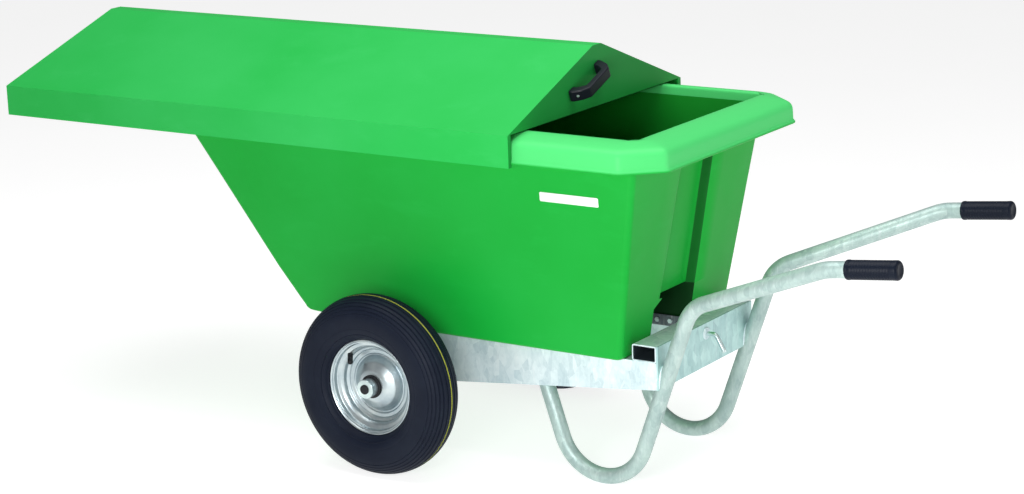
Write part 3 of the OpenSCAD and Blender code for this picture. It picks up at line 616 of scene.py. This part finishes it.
def make_runners():
    """Two ledges inside the skirts that slide on the rim's crest."""
    low, high = LID_LOW.x + LID_WALL, LID_HIGH.x - LID_WALL
    z0 = CREST_Z + 0.6
    inner = TUB_HIGH.y - RIM_OVERHANG + FLARE_SIDE * wall_share(CREST_Z) - FLARE_SIDE + 8
    for side, word in ((1, "left"), (-1, "right")):
        ys = sorted((side * inner, side * (HALF_LID - LID_WALL + 1)))
        points = [(x, y, z) for x in (low, high) for y in ys for z in (z0, z0 + 3.4)]
        faces = [[0, 1, 3, 2], [4, 6, 7, 5], [0, 4, 5, 1], [2, 3, 7, 6], [0, 2, 6, 4], [1, 5, 7, 3]]
        bevel(piece(f"lid_runner_{word}", points, faces, "lid", LID), 1.2)


make_runners()

BOW_SPAN, BOW_REACH, BOW_W, BOW_T, BOW_FOOT_H = 109.0, 41.0, 24.0, 14.5, 16.0
BOW_Y, BOW_DROP = -55.0, 69.0
# From the bow's own axes, along, across and out, to the gable's face
GABLE = Matrix(((0, 0, 1, LID_HIGH.x), (math.cos(PITCH), -math.sin(PITCH), 0, BOW_Y),
                (math.sin(PITCH), math.cos(PITCH), 0, RIDGE_Z - BOW_DROP), (0, 0, 0, 1)))


def make_bow():
    """Angular bow handle: a closed side outline, wider at the feet, given its width and soft edges."""
    out = BOW_SPAN / 2
    outer = [(out + 11, 0, 0), (out + 11, 9, 3), (out + 2, BOW_REACH - 13, 6), (out - 13, BOW_REACH, 7)]
    inner = [(out - 22, BOW_REACH - BOW_T, 6), (out - 11, 11, 5), (out - 9, 0, 0)]
    corners = outer + [(-x, z, r) for x, z, r in reversed(outer)]
    corners += [(-x, z, r) for x, z, r in reversed(inner)] + inner
    line = rounded(corners, closed=True, step=15)
    n = len(line)
    points = []
    for side in (-1, 1):
        for p in line:
            w = BOW_W / 2 * (1.0 if p.y > BOW_FOOT_H else 1.0 + 0.10 * (1 - p.y / BOW_FOOT_H))
            points.append(GABLE @ Vector((p.x, side * w, p.y)))
    faces = [list(range(n)), [n + i for i in range(n)][::-1]]
    faces += [[i, n + i, n + (i + 1) % n, (i + 1) % n] for i in range(n)]
    bow = piece("lid_bow_handle", points, faces, "lid", HANDLE, ["lid_handle"], sharp=25)
    bevel(bow, 3.2, 4, 50)


def make_bow_screws():
    """A screw head on each sloping end of the bow handle."""
    head = ((3.4, -3.0), (3.4, 0.6), (2.8, 1.3), (1.5, 1.5), (1.3, 0.9), (0.2, 0.9))
    slope = math.atan2(9, 28)
    across, along = Vector((1, 0, 0)), Vector((0, 1, 0))
    for s, word in ((-1, "low"), (1, "high")):
        place = GABLE @ Matrix.Translation((s * (BOW_SPAN / 2 + 5.5), 0, 19))
        place = place @ Matrix.Rotation(s * (math.pi / 2 - slope), 4, "Y")
        rings = [[place @ p for p in circle(Vector((0, 0, w)), across, along, r, 24)] for r, w in head]
        points, faces = loft(rings)
        piece(f"lid_bow_screw_{word}", points, faces, "lid", ZINC, sharp=40)


make_bow()
make_bow_screws()

# ---------------------------------------------------------------- label


def make_label():
    """Plain rounded sticker with no print, lying on the near side wall."""
    low, high = box("label")
    lean = math.atan(FLARE_SIDE / TUB_DEPTH)
    w, h = high.x - low.x, (high.z - low.z) / math.cos(lean)
    outline = rounded([(0, 0, 3), (w, 0, 3), (w, h, 3), (0, h, 3)], closed=True, step=15)

    def y_at(z):
        return -(TUB_HIGH.y - RIM_OVERHANG - FLARE_SIDE * (1 - wall_share(z)))

    rings = []
    for lift, inset in ((-0.6, 0), (0.75, 0), (0.9, 0.25)):
        ring = []
        for p in outline:
            x = p.x + (inset if p.x < w / 2 else -inset)
            v = p.y + (inset if p.y < h / 2 else -inset)
            z = low.z + v * math.cos(lean)
            ring.append((low.x + x, y_at(z) - lift, z + lift * math.sin(lean)))
        rings.append(ring)
    points, faces = loft(rings)
    return piece("label_blank", points, faces, "tub", LABEL, ["label"], sharp=40)


make_label()

# ---------------------------------------------------------------- wheels

HUB_Z = (box("axle")[0].z + box("axle")[1].z) / 2
TYRE_RISE = 46.0
FLANGE_R = 106.0
BEAD_R = FLANGE_R - 6
RIM_T = 1.6
VALVE_TURN, VALVE_FOOT_R, VALVE_TIP_R = 136, 97, 68


def mirrored(line):
    """A (radius, way out) line run back on the wheel's other side."""
    return [(r, -w) for r, w in reversed(line)]


def tyre_outline(radius, half_w):
    """Half the tyre's section and its stripe marks: ribbed tread, ringed shoulder and sidewall."""
    half = []
    marks = []

    def add(r, w, mark=0):
        half.append((r, w))
        marks.append(mark)

    centre_r = radius - TYRE_RISE

    def crown(w):
        return centre_r + TYRE_RISE * math.sqrt(1 - (w / half_w) ** 2)

    add(radius, 0.0)
    # Five ribs: grooves at 5, 15 and 25 mm from the middle; the two beside the middle rib hold a fine line
    for groove in (5.0, 15.0, 25.0):
        add(crown(groove - 2.2), groove - 2.2)
        add(crown(groove - 1.5) - 0.5, groove - 1.6)
        add(crown(groove) - 2.6, groove - 1.1, 1 if groove == 5 else 0)
        add(crown(groove) - 2.6, groove + 1.1)
        add(crown(groove + 1.5) - 0.5, groove + 1.6)
        add(crown(groove + 2.2), groove + 2.2)
    # Shoulder, with a few moulded rings
    for i in range(16):
        w = 29.5 + (half_w - 29.5) * (1 - (1 - i / 16) ** 2)
        r = crown(w)
        add(r, w)
        if i in (1, 4, 7, 10):
            add(r - 0.9, w - 0.5)
            add(r - 2.0, w - 0.2)
    # Sidewall down to the rim, with two moulded rings
    for i in range(17):
        t = math.radians(70 * i / 16)
        r, w = centre_r - 47.5 * math.sin(t), half_w * math.cos(t) ** 0.39
        add(r, w)
        if i in (5, 10):
            add(r - 0.6, w + 0.5 if i > 5 else w - 0.6)
            add(r - 1.9, w + 0.3 if i > 5 else w - 0.6)
    return half, marks


def make_tyre(word, side, centre):
    low, high = box(f"tyre_{word}")
    radius, half_w = (high.x - low.x) / 2, (high.y - low.y) / 2
    half, marks = tyre_outline(radius, half_w)
    # From the sidewall in to the bead under the flange, then the hollow inside
    half += [(FLANGE_R + 3.5, 33.0), (FLANGE_R + 1.0, 30.5), (FLANGE_R + 0.8, 26.0),
             (BEAD_R + 3.0, 24.6), (BEAD_R + 0.4, 24.0), (BEAD_R + 0.4, 18.0)]
    marks += [0] * 6
    hollow = [(BEAD_R + 8, 17.0), (BEAD_R + 12, 30.0), (BEAD_R + 25, 40.0), (radius - 40, 42.0),
              (radius - 18, 33.0), (radius - 9, 18.0), (radius - 8, 0.0)]
    outline = half + hollow + mirrored(hollow[:-1]) + mirrored(half[1:])
    # A face's mark is that of the point it starts from, so the mirrored marks lie one point on
    marks = marks + [0] * (2 * len(hollow)) + marks[:1:-1]
    lathe(f"tyre_cover_{word}", outline[::-1], centre, side, f"wheel_{word}", TYRE,
          [f"tyre_{word}"], 180, 24, [STRIPE], marks[::-1])


def make_rim(word, side, centre):
    """Rolled lips, bead seats and a stepped well; then a pressed disc with a dome that holds the hub."""
    body = f"wheel_{word}"
    lip = [(FLANGE_R - 1.0, 29.4), (FLANGE_R, 28.6), (FLANGE_R + 0.2, 27.3), (FLANGE_R - 0.7, 26.0),
           (FLANGE_R - 2.6, 25.0)]
    well = [(*lip[-1], 0), (BEAD_R - 0.2, 24.2, 1.6), (BEAD_R - 0.4, 14.5, 3.0), (BEAD_R - 9, 12.4, 3.0),
            (BEAD_R - 14, 7.2, 3.0), (BEAD_R - 15.5, 0.0, 0)]
    under = [(p.x, p.y) for p in rounded(well, step=15)]
    over = [(r - RIM_T, w - 0.2 * RIM_T) for r, w in reversed(under)]
    cap = [(FLANGE_R - 4.8, 26.8), (FLANGE_R - 3.4, 28.7), (FLANGE_R - 2.2, 29.5)]
    half = [*lip, *under[1:]]
    outline = half + mirrored(half)[1:] + mirrored([*over[1:], *cap]) + [*over, *cap]
    lathe(f"rim_barrel_{word}", outline, centre, side, body, RIM, [f"rim_{word}"], 144, 35)
    pressed = [(BEAD_R - 15.0, 4.5, 0), (BEAD_R - 17.0, -1.0, 3.0), (BEAD_R - 22.5, -3.4, 3.0),
               (BEAD_R - 24.5, -6.5, 2.0), (BEAD_R - 33.0, -7.2, 2.5), (66.0, -10.6, 2.6),
               (62.0, -9.4, 2.4), (60.0, -4.0, 3.0), (52.0, 6.5, 14.0), (36.0, 15.6, 18.0),
               (24.0, 18.0, 5.0), (20.6, 18.2, 0)]
    face = [(p.x, p.y) for p in rounded(pressed, step=8)]
    back = [(r - 0.3, w - 2.0) for r, w in face]
    lathe(f"rim_disc_{word}", face + back[::-1], centre, side, body, RIM, (), 144, 35)


def make_hub_parts(word, side, centre):
    """The black sealing ring round the hub, and the washer and push-on cap on the axle's end."""
    end = Vector((0, side * box("axle_washers")[1].y, HUB_Z))
    seal = [(20.1, 18.7, 0), (25.6, 18.7, 1.2), (25.6, 24.4, 2.2), (20.1, 25.0, 0)]
    washer = [(10.2, -3.2, 0), (21.0, -3.2, 0.8), (21.0, 0.0, 1.2), (10.2, 0.3, 0)]
    cap = [(0.2, 0.0, 0), (10.6, 0.0, 0.2), (10.6, 3.9, 2.2), (0.2, 4.0, 0)]
    for name, corners, step, place, body, look, slot, node, sides in (
            ("seal_ring", seal, 12, centre, f"wheel_{word}", BLACK, "black_rubber",
             f"dust_ring_{word}", 72),
            ("end_washer", washer, 15, end, "chassis", ZINC, "zinc", "axle_washers", 64),
            ("end_cap", cap, 12, end, "chassis", BLACK, "black_plastic", "axle_caps", 48)):
        outline = [(p.x, p.y) for p in rounded(corners, step=step)]
        lathe(f"{name}_{word}", outline, place, side, body, look, [node], sides, 35)


def make_valve(word, side, centre):
    """Rubber valve stem with a ribbed cap, leaning out over the disc."""
    turn = math.radians(VALVE_TURN)
    direction = Vector((math.cos(turn), 0, math.sin(turn)))
    foot = centre + direction * VALVE_FOOT_R - Vector((0, side * 2, 0))
    tip = centre + direction * VALVE_TIP_R + Vector((0, side * 28, 0))
    axis = (tip - foot).normalized()
    length = (tip - foot).length
    outline = [(0, 6.0), (5, 7.4), (10, 7.4), (14, 6.3), (18, 5.9), (length - 17, 5.7),
               (length - 16.5, 5.2), (length - 15, 5.6), (length - 3, 5.6), (length - 1.2, 4.8),
               (length - 0.2, 3.0)]
    a = axis.orthogonal().normalized()
    b = axis.cross(a)
    sides = 40
    rings = []
    for along, r in outline:
        knurl = 0.28 if length - 15.5 < along < length - 2 else 0.0
        middle = foot + axis * along
        high, low = (circle(middle, a, b, r + k, sides) for k in (knurl, -knurl))
        rings.append([high[k] if k % 2 else low[k] for k in range(sides)])
    points, faces = loft(rings)
    piece(f"valve_stem_{word}", points, faces, f"wheel_{word}", BLACK,
          [f"valve_{word}"], sharp=60)


def make_wheel(word, side):
    low, high = box(f"tyre_{word}")
    centre = Vector((0, (low.y + high.y) / 2, HUB_Z))
    make_tyre(word, side, centre)
    make_rim(word, side, centre)
    make_hub_parts(word, side, centre)
    make_valve(word, side, centre)


for word, side in (("left", 1), ("right", -1)):
    make_wheel(word, side)

# ---------------------------------------------------------------- handle tubes

RAIL_LOW, RAIL_HIGH = box("rail_right")
RAIL_TOP, FRAME_REAR = RAIL_HIGH.z, RAIL_HIGH.x
FRAME_HALF = -RAIL_LOW.y
PLATE_T = 4.0
TUBE_R = 33.7 / 2
LEG_Y = FRAME_HALF - PLATE_T - TUBE_R - 0.05
FOOT_R, ELBOW_R, GRIP_BEND_R = 106.0, 85.0, 100.0
FRONT_LEAN, REAR_LEAN = math.radians(18.2), math.radians(20.1)
GRIP_SLOPE = math.radians(5.8)
GRIP_R, GRIP_LEN, GRIP_CAP, GRIP_RING_STEP = 20.0, 112.0, 4.0, 6.0


def tube_corners():
    """Corners of the near tube's centre line with a radius for each bend, at y = +."""
    foot = Vector((FRAME_REAR - 147, TUBE_R + FOOT_R))
    touch = foot - FOOT_R * Vector((math.cos(FRONT_LEAN), math.sin(FRONT_LEAN)))
    reach = FOOT_R * math.tan((math.pi - FRONT_LEAN - REAR_LEAN) / 2)
    corner = touch + reach * Vector((math.sin(FRONT_LEAN), -math.cos(FRONT_LEAN)))
    top_z = RAIL_TOP - PLATE_T - 14
    top_x = touch.x - (top_z - touch.y) * math.tan(FRONT_LEAN)
    elbow_z = RAIL_TOP + 123
    elbow_x = corner.x + (elbow_z - corner.y) * math.tan(REAR_LEAN)
    bend = Vector((FRAME_REAR + 427, LEG_Y + 89, elbow_z + 144))
    end = bend + 153 * Vector((math.cos(GRIP_SLOPE), 0, math.sin(GRIP_SLOPE)))
    return [(top_x, LEG_Y, top_z, 0), (corner.x, LEG_Y, corner.y, FOOT_R),
            (elbow_x, LEG_Y, elbow_z, ELBOW_R), (*bend, GRIP_BEND_R), (*end, 0)]


def flip(points, side):
    """The points, mirrored to the right if side is -1."""
    return [Vector((p[0], side * p[1], p[2])) for p in points]


def make_tube(word, side):
    """The bent tube, with a short open bore at its cut front end."""
    line = flip(rounded(tube_corners(), step=4), side)
    start = (line[1] - line[0]).normalized()
    outer = sweep([line[0], line[0] + start * 0.8, *line[1:]], TUBE_R, 48)
    outer[0] = [p.lerp(line[0], 0.045) for p in outer[0]]
    bore = sweep([line[0] + start * 60, line[0] + start * 0.1], TUBE_R - 2.6, 48)
    points, faces = loft(bore + outer)
    return piece(f"bent_tube_{word}", points, faces, "chassis", TUBE,
                 [f"handle_tube_{word}"], sharp=50)


def make_grip(word, side):
    """Sleeve grip: a thin lip, shallow finger rings and a domed end."""
    corners = tube_corners()
    end = Vector(corners[-1][:3])
    ahead = (end - Vector(corners[-2][:3])).normalized()
    r, cap, start = GRIP_R, GRIP_CAP, GRIP_CAP - GRIP_LEN
    outline = [(start + 0.5, TUBE_R + 0.4), (start, r - 1.4), (start + 0.8, r - 0.3),
               (start + 2.5, r), (start + 6, r), (start + 7, r - 0.7)]
    ring_at = start + 10
    while ring_at < cap - 12:
        outline += [(ring_at, r - 0.55), (ring_at + 0.5, r - 0.9), (ring_at + 1.1, r - 0.9),
                    (ring_at + 1.6, r - 0.5)]
        ring_at += GRIP_RING_STEP
    outline += [(cap - 6.0, r - 0.2)]
    outline += [(cap - 6 + 6 * math.sin(q), r - 6.2 + 6 * math.cos(q))
                for q in (math.radians(15 * i) for i in range(1, 7))]
    outline += [(cap, r - 9), (cap - 0.5, r - 10), (cap - 0.5, 0.5)]
    a = ahead.orthogonal().normalized()
    b = ahead.cross(a)
    rings = [flip(circle(end + ahead * s, a, b, rr, 64), side) for s, rr in outline]
    points, faces = loft(rings)
    if side < 0:
        faces = [f[::-1] for f in faces]
    return piece(f"grip_sleeve_{word}", points, faces, "chassis", GRIP,
                 [f"grip_{word}"], sharp=35)


for word, side in (("left", 1), ("right", -1)):
    make_tube(word, side)
    make_grip(word, side)

# ---------------------------------------------------------------- frame's plates and cross tube

CROSS_LOW, CROSS_HIGH = box("rear_cross_tube")


def make_cross_tube():
    """Rolled box section: rounded outer and inner corners, open at both ends."""
    x0, x1, z0, z1 = CROSS_LOW.x, CROSS_HIGH.x, CROSS_LOW.z, CROSS_HIGH.z
    wall = 3.0

    def section(inset, r):
        corners = [(x0 + inset, z0 + inset, r), (x1 - inset, z0 + inset, r),
                   (x1 - inset, z1 - inset, r), (x0 + inset, z1 - inset, r)]
        return rounded(corners, closed=True, step=15)

    y = CROSS_HIGH.y
    rings = []
    for inset, r, w in ((0.35, 4.2, y), (0, 4.5, y - 0.4), (0, 4.5, 0.4 - y),
                        (0.35, 4.2, -y), (wall, 1.8, -y), (wall, 1.8, y)):
        rings.append([(p.x, w, p.y) for p in section(inset, r)])
    points, faces = loft(rings, closed_path=True)
    inner_from = 4 * len(rings[0])
    # The inside faces take the dark painted-shade grey
    faces = [(f[::-1], 1 if min(f) >= inner_from else 0) for f in faces]
    return piece("cross_box", points, faces, "chassis", GALV, ["rear_cross_tube"],
                 sharp=35, looks=[CROSS_INSIDE_SHADE])


make_cross_tube()

for name in ("rail_left", "rail_right", "rear_plate"):
    bevel(NODES[name], 0.9, 2, 40)
for name in ("pivot_lug_left", "pivot_lug_right", "latch_catch", "latch_bush", "latch_washer",
             "pivot_bolts", "catch_bolts", "hub_left", "hub_right", "axle_spacer_left",
             "axle_spacer_right", "axle", "lid_handle_screws"):
    bevel(NODES[name], 0.6, 2, 45)

FINISHES = {
    # The latch catch takes the painted-shade galvanised copy
    "keeper": (KEEPER_SHADE, ("latch_catch",)),
    "plate": (PLATE, ("rear_plate",)),
    "galvanised": (GALV, ("rail_left", "rail_right", "pivot_lug_left", "pivot_lug_right",
                          "latch_bush", "axle_spacer_left", "axle_spacer_right")),
    "zinc": (ZINC, ("pivot_bolts", "catch_bolts", "lid_handle_screws", "axle", "latch_washer",
                    "latch_split_pin")),
    "bright": (RIM, ("hub_left", "hub_right")),
    "black": (BLACK, ("bearings_left", "bearings_right", "inner_tube_left", "inner_tube_right")),
}
for material, names in FINISHES.values():
    for name in names:
        NODES[name].data.materials.clear()
        NODES[name].data.materials.append(material)

# ---------------------------------------------------------------- latch

PIN_Z = RAIL_TOP + 14
PIN_R = 5.0
TAIL, TAIL_LEAN = 42.0, math.radians(60)
PLATE_BACK = box("rear_plate")[1].x


def make_latch():
    """The latch's rod with its bent tail and soft ends."""
    low, high = box("latch_pin")
    # The tail's round end stands out past the end of the pin's middle line by this much
    end_out = PIN_R * math.sin(TAIL_LEAN)
    tail = TAIL * Vector((math.cos(TAIL_LEAN), 0, -math.sin(TAIL_LEAN)))
    bend = Vector((high.x - end_out - tail.x, 0, PIN_Z))
    line = dense(rounded([(low.x, 0, PIN_Z, 0), (*bend, 12.0), (*(bend + tail), 0)], step=8), 6)
    first, last = line[0], line[-1]
    into, out = (line[1] - first).normalized(), (last - line[-2]).normalized()
    start = [first + into * s for s in (0, 0.4, 1.4)]
    end = [last - out * s for s in (1.4, 0.4, 0)]
    rings = sweep([*start, *line[1:-1], *end], PIN_R, 32)
    for i, share in ((0, 0.7), (1, 0.88), (-1, 0.7), (-2, 0.88)):
        middle = sum(rings[i], Vector()) / len(rings[i])
        rings[i] = [middle.lerp(p, share) for p in rings[i]]
    points, faces = loft(rings)
    piece("latch_rod", points, faces, "latch", ZINC, ["latch_pin"], sharp=50)


make_latch()

# ---------------------------------------------------------------- welds


def ellipse_bead(name, centre, axis_a, axis_b, start, end, body, radius, seed):
    """A weld bead along part of an ellipse, from start to end in degrees."""
    n = 70
    turns = (math.radians(start + (end - start) * i / n) for i in range(n + 1))
    line = [centre + axis_a * math.cos(q) + axis_b * math.sin(q) for q in turns]
    return bead(name, line, body, radius, seed)


def make_welds():
    """Beads where the legs, the cross tube, the rails and the bush meet the plates."""
    corners = tube_corners()
    top, foot, elbow = (Vector(c[:3]) for c in corners[:3])
    plate_foot = box("rear_plate")[0].z
    for word, side in (("left", 1), ("right", -1)):
        # Leg through the rear plate: an arch on the plate's back
        share = (PLATE_BACK - foot.x) / (elbow.x - foot.x)
        crossing = foot.lerp(elbow, share)
        centre = Vector((PLATE_BACK + 0.4, side * LEG_Y, crossing.z))
        tall = TUBE_R / math.sin(REAR_LEAN)
        low = math.degrees(math.asin(min(1, (plate_foot - crossing.z) / tall)))
        ellipse_bead(f"weld_leg_arch_{word}", centre, Vector((0, TUBE_R + 1.2, 0)),
                     Vector((0, 0, tall + 2.5)), low + 3, 177 - low, "chassis", 2.6, side)
        # Leg's front stretch against the rail's web
        down = (foot - top).normalized()
        for edge in (-1, 1):
            start = top + down * 6
            end = top + down * ((RAIL_TOP - plate_foot) / -down.z - 20)
            shift = Vector((edge * 9.5, TUBE_R - 2.6, 0))
            line = flip(dense([start + shift, end + shift]), side)
            bead(f"weld_leg_front_{word}_{'fore' if edge < 0 else 'aft'}", line, "chassis", 2.6,
                 edge + 3 * side)
        # Cross tube on the rail's top
        y = side * (FRAME_HALF - 0.6)
        line = dense([Vector((x, y, RAIL_TOP + 0.4)) for x in (CROSS_LOW.x + 3, CROSS_HIGH.x - 3)])
        bead(f"weld_cross_foot_{word}", line, "chassis", 1.9, 5 + side)
        # Rail's end against the plate
        y = side * (FRAME_HALF - 0.4)
        line = dense([Vector((FRAME_REAR - 0.6, y, RAIL_TOP - below)) for below in (6, 52)])
        bead(f"weld_rail_end_{word}", line, "chassis", 1.7, 9 + side)
    ellipse_bead("weld_bush", Vector((PLATE_BACK + 0.6, 0, PIN_Z)), Vector((0, 10.6, 0)),
                 Vector((0, 0, 10.6)), 0, 354, "chassis", 3.0, 4)


make_welds()

# ---------------------------------------------------------------- camera, stage and light

CAM_AZ, CAM_EL, CAM_ROLL = math.radians(33.9), math.radians(14.1), math.radians(-2.0)
CAM_PLACE = at((3261.4, -4662.9, 1850.4))
LENS = 91.93
FLOOR_HALF = 14.0
FLOOR_GLOW, SKY_LIGHT, SKY_SEEN = 0.78, 0.2, 0.87


def make_camera():
    """The camera at the photograph's viewing angle, turned a little about its own line of sight."""
    level = Vector((math.sin(CAM_AZ), -math.cos(CAM_AZ), 0)) * math.cos(CAM_EL)
    back = level + Vector((0, 0, math.sin(CAM_EL)))
    right = Vector((math.cos(CAM_AZ), math.sin(CAM_AZ), 0))
    up = back.cross(right)
    r = right * math.cos(CAM_ROLL) + up * math.sin(CAM_ROLL)
    u = up * math.cos(CAM_ROLL) - right * math.sin(CAM_ROLL)
    data = bpy.data.cameras.new("camera")
    data.lens = LENS
    data.sensor_width = 36
    data.clip_end = 60
    cam = bpy.data.objects.new("camera", data)
    cam.matrix_world = Matrix([*zip(r, u, back, CAM_PLACE), (0, 0, 0, 1)])
    bpy.context.scene.collection.objects.link(cam)
    bpy.context.scene.camera = cam


def softbox(name, place, target, size, power, colour=(1, 1, 1)):
    data = bpy.data.lights.new(name, "AREA")
    data.shape = "RECTANGLE"
    data.size, data.size_y = size
    data.energy = power
    data.color = colour
    lamp = bpy.data.objects.new(name, data)
    lamp.location = place
    lamp.visible_camera = False
    lamp.rotation_euler = (Vector(target) - Vector(place)).to_track_quat("-Z", "Y").to_euler()
    bpy.context.scene.collection.objects.link(lamp)


def make_stage():
    """A pale floor that glows a little, an even sky and four soft boxes."""
    floor_look = Look("floor_paper", Specular_IOR_Level=0.1)
    paper = floor_look.mix(floor_look.noise(2.0), (0.44, 0.44, 0.44), (0.47, 0.47, 0.47))
    floor_look.finish(Base_Color=paper, Roughness=0.9, Emission_Color=(1, 1, 1),
                      Emission_Strength=FLOOR_GLOW)
    mesh = bpy.data.meshes.new("floor")
    corners = [(-1, -1), (1, -1), (1, 1), (-1, 1)]
    mesh.from_pydata([(x * FLOOR_HALF, y * FLOOR_HALF, 0) for x, y in corners], [], [[0, 1, 2, 3]])
    mesh.materials.append(floor_look.material)
    floor = bpy.data.objects.new("floor", mesh)
    bpy.context.scene.collection.objects.link(floor)
    world = bpy.data.worlds.new("studio")
    world.use_nodes = True
    sky = world.node_tree
    soft = sky.nodes["Background"]
    soft.inputs["Color"].default_value = (1, 1, 1, 1)
    soft.inputs["Strength"].default_value = SKY_LIGHT
    # Past the floor's edge the camera sees the floor's own pale tone; the light from there stays soft
    pale = sky.nodes.new("ShaderNodeBackground")
    pale.inputs["Color"].default_value = (1, 1, 1, 1)
    pale.inputs["Strength"].default_value = SKY_SEEN
    seen = sky.nodes.new("ShaderNodeMixShader")
    sky.links.new(sky.nodes.new("ShaderNodeLightPath").outputs["Is Camera Ray"], seen.inputs[0])
    sky.links.new(soft.outputs[0], seen.inputs[1])
    sky.links.new(pale.outputs[0], seen.inputs[2])
    sky.links.new(seen.outputs[0], sky.nodes["World Output"].inputs["Surface"])
    bpy.context.scene.world = world
    softbox("top", (0.2, -0.4, 3.4), (0, 0, 0.5), (3.2, 2.2), 104)
    softbox("front_left", (-2.6, -3.2, 2.2), (-0.2, 0, 0.5), (2.0, 1.6), 3)
    softbox("right_front", (0.9, -2.0, 0.85), (0.45, -0.3, 0.5), (0.9, 0.7), 27)
    softbox("rear", (3.0, 0.4, 1.0), (0.55, 0, 0.5), (1.6, 1.2), 16)
    view = bpy.context.scene.view_settings
    view.view_transform = "Standard"
    view.look = "None"


make_camera()
make_stage()

bpy.context.view_layer.update()
